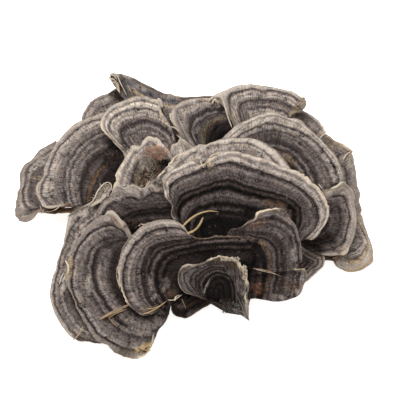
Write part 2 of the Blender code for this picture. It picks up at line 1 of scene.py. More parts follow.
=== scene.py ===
"""The looks of a dried turkey tail clump: banded velvety brackets, their dark base, and caught litter.

Metres, +Z up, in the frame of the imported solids. Outlines and markings are written as they look along
the line of sight, in view units, as in the solids' own source: a spot is (across, down, height), the
height in millimetres above the cut. In sight coordinates u runs to the right, v up the view and w
towards the viewer.

The long tables are short texts. A course is its spots, such as "56,141,19 40,150,18". A mark is its
fields in order, such as "31,217 9,2.5 sand 0.7 8": each is a point, a colour's name or a number.
"""

from __future__ import annotations

import logging
import math
from collections.abc import Iterable, Sequence
from dataclasses import dataclass, field
from enum import Enum

import bpy
import numpy as np
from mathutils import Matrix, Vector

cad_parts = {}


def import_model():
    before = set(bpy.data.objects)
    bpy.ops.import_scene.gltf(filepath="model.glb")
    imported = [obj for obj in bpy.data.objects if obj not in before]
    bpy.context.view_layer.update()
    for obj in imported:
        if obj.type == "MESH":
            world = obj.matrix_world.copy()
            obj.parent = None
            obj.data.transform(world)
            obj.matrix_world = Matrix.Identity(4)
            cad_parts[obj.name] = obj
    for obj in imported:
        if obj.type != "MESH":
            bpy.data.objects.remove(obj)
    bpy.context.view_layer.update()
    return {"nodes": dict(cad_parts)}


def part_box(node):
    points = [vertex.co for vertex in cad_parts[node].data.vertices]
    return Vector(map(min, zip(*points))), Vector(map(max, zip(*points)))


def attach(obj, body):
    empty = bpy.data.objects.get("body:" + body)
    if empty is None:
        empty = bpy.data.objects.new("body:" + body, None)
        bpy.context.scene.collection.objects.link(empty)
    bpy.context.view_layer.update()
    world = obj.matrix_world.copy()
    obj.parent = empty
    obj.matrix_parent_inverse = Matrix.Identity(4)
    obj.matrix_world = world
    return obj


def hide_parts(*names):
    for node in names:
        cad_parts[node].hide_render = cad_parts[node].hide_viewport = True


LOG = logging.getLogger("turkey_tail")

MM = 0.001
CLUMP_WIDTH = 0.151  # over the widest brackets
VIEW_WIDTH = 359.0  # the same width in view units
UNIT = CLUMP_WIDTH / VIEW_WIDTH
VIEW_MIDDLE = (200.0, 245.0)  # the spot of the view that shows the middle of the cut
PICTURE_SIZE = 400.0  # the picture's width and height, in view units
SIGHT_ELEVATION = math.radians(52.0)
SIGHT_SIN = math.sin(SIGHT_ELEVATION)
SIGHT_COS = math.cos(SIGHT_ELEVATION)

FACET = 5.2 * MM  # the solids' aimed facet along an edge
FEWEST_FACETS, MOST_FACETS = 8, 32
RING_FACET = 6.8 * MM
FEWEST_RINGS, MOST_RINGS = 3, 6
ROOT_REACH = 0.18
ROOT_THICKNESS = 2.4 * MM
EDGE_THICKNESS = 1.3 * MM

COLUMN = 0.6 * MM  # aimed width of a fine face along an edge
ROW = 0.5 * MM  # aimed length of a fine face from root to edge
RIM_ROWS = (0.0, 0.12, 0.28, 0.48, 0.75, 1.1, 1.5)  # rows near the edge, in millimetres from it
MATCH = 0.08 * MM  # how closely a solid's corner is found again

FULL_LIGHT = 1.55  # how much lighter the studio shows a surface than its colour
RAMP_STOPS = 32  # the most colours that one ramp takes

Spot = tuple[float, float, float]
Place = tuple[float, float]
Numbers = np.ndarray | float


class Hue(Enum):
    """Named colours of the clump in full light, as red, green and blue from 0 to 255."""

    CREAM = (240, 220, 190)
    WARM_RIM = (197, 184, 171)
    RIM = (180, 168, 157)
    PALE = (164, 152, 142)
    ASH = (148, 136, 128)
    TAUPE = (131, 120, 113)
    GREY = (115, 104, 99)
    DIM = (99, 89, 85)
    DUSK = (83, 74, 71)
    SHADE = (67, 59, 57)
    DARK = (54, 46, 43)
    INK = (40, 34, 32)
    BLACK = (24, 21, 20)
    SAND = (170, 149, 124)
    OLIVE = (100, 91, 76)
    OCHRE = (122, 101, 80)
    BROWN = (88, 68, 54)
    RUST = (122, 80, 54)
    SLATE = (104, 98, 98)
    NAVY = (46, 43, 46)
    UNDER = (164, 130, 96)
    MOSS = (46, 45, 36)
    SALMON = (212, 162, 140)
    STRAW = (206, 178, 124)
    WOOD = (150, 122, 90)

    def linear(self) -> tuple[float, float, float, float]:
        """The colour as a shader's linear red, green, blue and alpha."""
        shares = [value / 255 for value in self.value]
        straight = [s / 12.92 if s <= 0.04045 else ((s + 0.055) / 1.055) ** 2.4 for s in shares]
        return (*(s / FULL_LIGHT for s in straight), 1.0)


# ---------------------------------------------------------------------------------------------- maths


def sight_place(places: Iterable[Spot]) -> np.ndarray:
    """Turns spots of the view with their heights into sight coordinates.

    Args:
        places: (across, down, height) of each.

    Returns:
        One row (u, v, w) for each, in metres.
    """
    across, down, height = np.array(list(places), dtype=float).T
    u = (across - VIEW_MIDDLE[0]) * UNIT
    v = (VIEW_MIDDLE[1] - down) * UNIT
    w = (height * MM - v * SIGHT_COS) / SIGHT_SIN
    return np.stack((u, v, w), axis=1)


def from_sight(points: np.ndarray) -> np.ndarray:
    """Turns sight coordinates (..., 3) into world coordinates."""
    u, v, w = np.moveaxis(points, -1, 0)
    return np.stack((u, v * SIGHT_SIN - w * SIGHT_COS, v * SIGHT_COS + w * SIGHT_SIN), axis=-1)


def to_sight(points: np.ndarray) -> np.ndarray:
    """Turns world coordinates (..., 3) into sight coordinates."""
    x, y, z = np.moveaxis(points, -1, 0)
    return np.stack((x, y * SIGHT_SIN + z * SIGHT_COS, z * SIGHT_SIN - y * SIGHT_COS), axis=-1)


def flat_place(place: Place) -> np.ndarray:
    """Where a spot of the view lies across the sight, as (u, v) in metres."""
    return np.array(((place[0] - VIEW_MIDDLE[0]) * UNIT, (VIEW_MIDDLE[1] - place[1]) * UNIT))


def smooth_curve(points: np.ndarray, steps: int = 12) -> np.ndarray:
    """A centripetal Catmull-Rom curve through points, with steps straight bits between each two.

    Args:
        points: What it goes through, one row each.
        steps: How many straight bits there are between two points.

    Returns:
        The curve's points, one row each.
    """
    ends = (2 * points[0] - points[1], 2 * points[-1] - points[-2])
    p = np.vstack((ends[0], points, ends[1]))
    found = [points[0]]
    for a, b, c, d in zip(p, p[1:], p[2:], p[3:]):
        t1 = math.sqrt(np.linalg.norm(b - a))
        t2 = t1 + math.sqrt(np.linalg.norm(c - b))
        t3 = t2 + math.sqrt(np.linalg.norm(d - c))
        for t in np.linspace(t1, t2, steps + 1)[1:]:
            ab = (a * (t1 - t) + b * t) / t1
            bc = (b * (t2 - t) + c * (t - t1)) / (t2 - t1)
            cd = (c * (t3 - t) + d * (t - t2)) / (t3 - t2)
            abc = (ab * (t2 - t) + bc * t) / t2
            bcd = (bc * (t3 - t) + cd * (t - t1)) / (t3 - t1)
            found.append((abc * (t2 - t) + bcd * (t - t1)) / (t2 - t1))
    return np.array(found)


def run_along(curve: np.ndarray) -> np.ndarray:
    """The length across the view from a curve's start to each of its points."""
    lengths = np.linalg.norm(np.diff(curve[:, :2], axis=0), axis=1)
    return np.concatenate(((0.0,), np.cumsum(lengths)))


def along(curve: np.ndarray, shares: np.ndarray) -> np.ndarray:
    """Points of a curve at the given shares of its length across the view."""
    run = run_along(curve)
    return np.stack([np.interp(shares * run[-1], run, curve[:, k]) for k in range(3)], axis=1)


def nearest(places: np.ndarray, line: np.ndarray) -> np.ndarray:
    """The distance from each place (n, 2) to a line of points (m, 2).

    Args:
        places: Places across the view.
        line: The line's points.

    Returns:
        The distances, one for each place.
    """
    start, step = line[:-1], np.diff(line, axis=0)
    long = np.maximum((step**2).sum(1), 1e-18)
    found = np.full(len(places), np.inf)
    for a, d, size in zip(start, step, long):
        share = np.clip(((places - a) @ d) / size, 0, 1)
        gap = places - a - share[:, None] * d
        found = np.minimum(found, (gap**2).sum(1))
    return np.sqrt(found)


def beside(places: np.ndarray, line: np.ndarray, beyond: float = 0.08) -> np.ndarray:
    """The distance from each place (n, 2) to a line (m, 2), positive on its left.

    Args:
        places: The places.
        line: The line's points; it runs on straight past both ends.
        beyond: How far past, in metres.

    Returns:
        The distances.
    """
    first, last = line[0] - line[1], line[-1] - line[-2]
    start = line[0] + first / np.linalg.norm(first) * beyond
    end = line[-1] + last / np.linalg.norm(last) * beyond
    line = np.vstack((start, line, end))
    found, side = np.full(len(places), np.inf), np.ones(len(places))
    for a, d in zip(line[:-1], np.diff(line, axis=0)):
        offset = places - a
        share = np.clip((offset @ d) / max(float(d @ d), 1e-18), 0, 1)
        gap = ((offset - share[:, None] * d) ** 2).sum(1)
        closer = gap < found
        found[closer] = gap[closer]
        side[closer] = np.sign(d[0] * offset[closer, 1] - d[1] * offset[closer, 0])
    return side * np.sqrt(found)


def eased_step(low: float, high: float, values: np.ndarray) -> np.ndarray:
    """A smooth step from 0 at low to 1 at high."""
    share = np.clip((values - low) / (high - low), 0, 1)
    return share * share * (3 - 2 * share)


class Noise:
    """Smooth seeded noise in up to three dimensions, from -1 to 1."""

    SIZE = 32

    def __init__(self, seed: int) -> None:
        """Fills the lattice.

        Args:
            seed: Chooses one noise from many.
        """
        self.lattice = np.random.default_rng(seed).uniform(-1, 1, (self.SIZE,) * 3)

    def __call__(self, x: Numbers, y: Numbers = 0.0, z: Numbers = 0.0) -> np.ndarray:
        """The noise at places whose lattice step is 1.

        Args:
            x: Places along the first side.
            y: Places along the second side.
            z: Places along the third side.

        Returns:
            The noise, mostly from 0 to 1.
        """
        x, y, z = np.broadcast_arrays(x, y, z)
        cells = [np.floor(a).astype(int) for a in (x, y, z)]
        shares = [a - cell for a, cell in zip((x, y, z), cells)]
        shares = [s * s * (3 - 2 * s) for s in shares]
        total = np.zeros(x.shape)
        for i in (0, 1):
            for j in (0, 1):
                for k in (0, 1):
                    weight = 1.0
                    for side, share in zip((i, j, k), shares):
                        weight = weight * (share if side else 1 - share)
                    at = [(cell + side) % self.SIZE for cell, side in zip(cells, (i, j, k))]
                    total += weight * self.lattice[at[0], at[1], at[2]]
        return total

    def layered(self, x: Numbers, y: Numbers = 0.0, z: Numbers = 0.0, layers: int = 3) -> np.ndarray:
        """Several layers of the noise, each twice as fine and half as strong as the one before.

        Args:
            x: Places along the first side.
            y: Places along the second side.
            z: Places along the third side.
            layers: How many there are.

        Returns:
            Their sum.
        """
        total, size = 0.0, 1.0
        for layer in range(layers):
            scale = 2.0**layer
            total = total + size * self(x * scale + 5.3 * layer, np.asarray(y) * scale, np.asarray(z) * scale)
            size *= 0.5
        return total


# -------------------------------------------------------------------------------------- shader wiring


class Wire:
    """One shader socket, with sums on it."""

    def __init__(self, graph: Graph, socket: bpy.types.NodeSocket) -> None:
        """Wraps a socket.

        Args:
            graph: The graph that the socket is in.
            socket: The output socket.
        """
        self.graph, self.socket = graph, socket

    def __add__(self, other: Value) -> Wire:
        """This plus another."""
        return self.graph.math("ADD", self, other)

    def __radd__(self, other: Value) -> Wire:
        """Another plus this."""
        return self.graph.math("ADD", other, self)

    def __sub__(self, other: Value) -> Wire:
        """This less another."""
        return self.graph.math("SUBTRACT", self, other)

    def __rsub__(self, other: Value) -> Wire:
        """Another less this."""
        return self.graph.math("SUBTRACT", other, self)

    def __mul__(self, other: Value) -> Wire:
        """This times another."""
        return self.graph.math("MULTIPLY", self, other)

    def __rmul__(self, other: Value) -> Wire:
        """Another times this."""
        return self.graph.math("MULTIPLY", other, self)

    def __truediv__(self, other: Value) -> Wire:
        """This over another."""
        return self.graph.math("DIVIDE", self, other)

    def clamped(self) -> Wire:
        """The value held between 0 and 1."""
        return self.graph.math("ADD", self, 0.0, clamp=True)

    def swing(self, reach: float) -> Wire:
        """A value from 0 to 1 as one from -reach to reach."""
        return (self - 0.5) * (2 * reach)

    def between(self, low: float, high: float) -> Wire:
        """A smooth step from 0 at low to 1 at high."""
        values = {"Value": self, "From Min": low, "From Max": high}
        made = self.graph.node("ShaderNodeMapRange", {"interpolation_type": "SMOOTHSTEP"}, values)
        return Wire(self.graph, made.outputs["Result"])


Value = Wire | Hue | float | Sequence[float]


class Graph:
    """A material's shader graph under one Principled shader."""

    def __init__(self, name: str) -> None:
        """Makes the material.

        Args:
            name: The material's name.
        """
        self.material = bpy.data.materials.new(name)
        self.material.use_nodes = True
        self.tree = self.material.node_tree
        self.shader = self.tree.nodes["Principled BSDF"]

    def connect(self, value: Value, socket: bpy.types.NodeSocket) -> None:
        """Feeds a value or a wire into a socket.

        Args:
            value: What the socket gets.
            socket: The input socket.
        """
        if isinstance(value, Wire):
            self.tree.links.new(value.socket, socket)
        else:
            socket.default_value = value.linear() if isinstance(value, Hue) else value

    def node(self, kind: str, settings: dict[str, object] | None = None,
             values: dict[str | int, Value] | None = None) -> bpy.types.Node:
        """Adds a node.

        Args:
            kind: The node's type.
            settings: Its own settings.
            values: What its sockets get.

        Returns:
            The node.
        """
        made = self.tree.nodes.new(kind)
        for key, setting in (settings or {}).items():
            setattr(made, key, setting)
        for key, value in (values or {}).items():
            self.connect(value, made.inputs[key])
        return made

    def math(self, operation: str, first: Value, second: Value = 0.0, clamp: bool = False) -> Wire:
        """A sum of two numbers."""
        settings = {"operation": operation, "use_clamp": clamp}
        made = self.node("ShaderNodeMath", settings, {0: first, 1: second})
        return Wire(self, made.outputs[0])

    def attribute(self, name: str, output: str = "Fac") -> Wire:
        """A value that the mesh holds at each point."""
        made = self.node("ShaderNodeAttribute", {"attribute_name": name})
        return Wire(self, made.outputs[output])

    def vector(self, x: Value, y: Value, z: Value = 0.0) -> Wire:
        """Three numbers as a vector."""
        made = self.node("ShaderNodeCombineXYZ", values={0: x, 1: y, 2: z})
        return Wire(self, made.outputs[0])

    def place(self) -> Wire:
        """The place on the object, in metres."""
        made = self.node("ShaderNodeTexCoord")
        return Wire(self, made.outputs["Object"])

    def noise(self, at: Wire, scale: float, detail: float = 2.0, rough: float = 0.5) -> Wire:
        """Cloudy noise from 0 to 1."""
        values = {"Vector": at, "Scale": scale, "Detail": detail, "Roughness": rough}
        made = self.node("ShaderNodeTexNoise", values=values)
        return Wire(self, made.outputs[0])

    def cells(self, at: Wire, scale: float) -> Wire:
        """The distance to the nearest of scattered points."""
        made = self.node("ShaderNodeTexVoronoi", values={"Vector": at, "Scale": scale})
        return Wire(self, made.outputs["Distance"])

    def mix(self, share: Value, first: Value, second: Value, blend: str = "MIX") -> Wire:
        """A mix of two colours."""
        settings = {"data_type": "RGBA", "blend_type": blend}
        made = self.node("ShaderNodeMix", settings, {0: share, 6: first, 7: second})
        return Wire(self, made.outputs[2])

    def ramp(self, value: Wire, stops: Sequence[tuple[float, Sequence[float]]]) -> Wire:
        """Colours along a value.

        Args:
            value: From 0 to 1.
            stops: (place, colour) in rising order.

        Returns:
            The colour.
        """
        made = self.node("ShaderNodeValToRGB", values={0: value})
        points = made.color_ramp.elements
        while len(points) > 1:
            points.remove(points[-1])
        points[0].position, points[0].color = stops[0]
        for place, colour in stops[1:RAMP_STOPS]:
            points.new(place).color = colour
        found = Wire(self, made.outputs[0])
        rest = stops[RAMP_STOPS - 1:]
        if len(rest) > 1:
            found = self.mix(self.math("GREATER_THAN", value, rest[0][0]), found, self.ramp(value, rest))
        return found

    def bump(self, height: Wire, depth: float) -> None:
        """Raises the surface by height times depth, in metres."""
        made = self.node("ShaderNodeBump", values={"Height": height, "Distance": depth, "Strength": 1.0})
        self.connect(Wire(self, made.outputs[0]), self.shader.inputs["Normal"])

    def surface(self, colour: Value, roughness: Value, sheen: float = 0.0, specular: float = 0.3) -> None:
        """Sets the shader's main inputs.

        Args:
            colour: The base colour.
            roughness: The roughness.
            sheen: How strong its sheen is.
            specular: How strongly it reflects.
        """
        values = {"Base Color": colour, "Roughness": roughness, "Sheen Weight": sheen, "Sheen Roughness": 0.5,
                  "Specular IOR Level": specular}
        for key, value in values.items():
            self.connect(value, self.shader.inputs[key])


# ------------------------------------------------------------------------------------ bracket designs


@dataclass(frozen=True)
class Band:
    """One stop of a bracket's concentric colours.

    Attributes:
        inward: How far in from the edge it is, in view units.
        hue: Its colour.
        furrow: Whether a furrow runs along it.
    """

    inward: float
    hue: Hue
    furrow: bool = False


@dataclass(frozen=True)
class Guide:
    """A line that one of a bracket's bands follows.

    Attributes:
        inward: The band's place, in view units, as in Band.
        course: (across, down) along it, in the order of the bracket's edge.
    """

    inward: float
    course: tuple[Place, ...]


@dataclass(frozen=True)
class Tear:
    """A stretch of edge that is torn or curled, and shows cream flesh.

    Attributes:
        start: (across, down) where it starts, near the edge.
        end: (across, down) where it ends.
        depth: How far in the flesh shows, in view units.
        curl: How far the edge turns towards the viewer, in millimetres.
        jag: How uneven the edge is, in millimetres.
        hue: The flesh's colour.
    """

    start: Place
    end: Place
    depth: float = 2.5
    curl: float = 0.8
    jag: float = 0.5
    hue: Hue = Hue.CREAM


@dataclass(frozen=True)
class StainOrPaintedLight:
    """A patch of another colour: a real stain, painted shade for a shadow or a dark gap, or painted light on
    a shaded spot.

    Attributes:
        place: (across, down) of its middle.
        size: Half its width and height, in view units.
        hue: Its colour.
        strength: How much of it shows, up to 1.
        tilt: Its turn anticlockwise, in degrees.
    """

    place: Place
    size: tuple[float, float]
    hue: Hue
    strength: float = 0.7
    tilt: float = 0.0


@dataclass(frozen=True)
class Push:
    """A spot where the sheet is pushed aside, for a lobe or a notch.

    Attributes:
        place: (across, down) of its middle.
        reach: How far it reaches, in view units.
        move: (across, down) that its middle moves, in view units.
        nearer: How far its middle moves towards the viewer, in millimetres.
    """

    place: Place
    reach: float
    move: tuple[float, float]
    nearer: float = 0.0


@dataclass(frozen=True)
class Bracket:
    """One fan-shaped bracket: its shape, as in the solids, and its looks.

    Attributes:
        name: The node that it stands for, without its first word.
        slot: The finish that it has, without its first word; not used.
        hinge: The spot that its growth lines run out from.
        edge: Spots along its outer edge, from one side to the other.
        bands: Its colours from the edge inwards.
        dome, lip, ruffle, waves, phase: Its bulge, turned lip and edge waves, as in the solids.
        tears: Stretches of torn edge.
        stains_and_painted_light: Patches of other colours: real stains, with painted shade and painted light
            among them.
        under: Its underside's colour.
        guides: Lines that its bands follow, from the edge inwards, if not its edge alone.
        pushes: Spots where it is pushed aside.
        light: Painted light and shade: how much lighter the whole bracket is painted than its bands' colours,
            for how much light reaches it.
    """

    name: str
    slot: str
    hinge: Spot
    edge: tuple[Spot, ...]
    bands: tuple[Band, ...]
    dome: float = 1.0
    lip: float = -0.6
    ruffle: float = 0.7
    waves: float = 3.0
    phase: float = 0.0
    tears: tuple[Tear, ...] = ()
    stains_and_painted_light: tuple[StainOrPaintedLight, ...] = ()
    under: Hue = Hue.UNDER
    guides: tuple[Guide, ...] = ()
    pushes: tuple[Push, ...] = ()
    light: float = 1.0


def spots(text: str) -> tuple[tuple[float, ...], ...]:
    """Reads a course, such as "56,141,19 40,150,18"."""
    return tuple(tuple(float(number) for number in spot.split(",")) for spot in text.split())


def word(text: str) -> Hue | Place | float:
    """Reads one field of a mark: a colour's name, a point or a number."""
    if text.isidentifier():
        return Hue[text.upper()]
    return spots(text)[0] if "," in text else float(text)


def marks(kind: type, *texts: str) -> tuple:
    """Reads marks of one kind, such as "31,217 9,2.5 sand 0.7 8" for a stain."""
    return tuple(kind(*map(word, text.split())) for text in texts)


def bands(text: str) -> tuple[Band, ...]:
    """Reads bands, such as "rim 0, ash 1 2, dim 7.2 furrow": a colour and how far in it lies.

    Args:
        text: The notation.

    Returns:
        The bands, from the rim inwards.
    """
    found = []
    for band in text.split(","):
        hue, *places = band.replace("furrow", "").split()
        found += [Band(float(place), Hue[hue.upper()], "furrow" in band) for place in places]
    return tuple(found)


def guides(*texts: str) -> tuple[Guide, ...]:
    """Reads guides, such as "7: 74,140 57,148": a band's place, then the course that it follows."""
    parts = (text.split(":") for text in texts)
    return tuple(Guide(float(inward), spots(course)) for inward, course in parts)


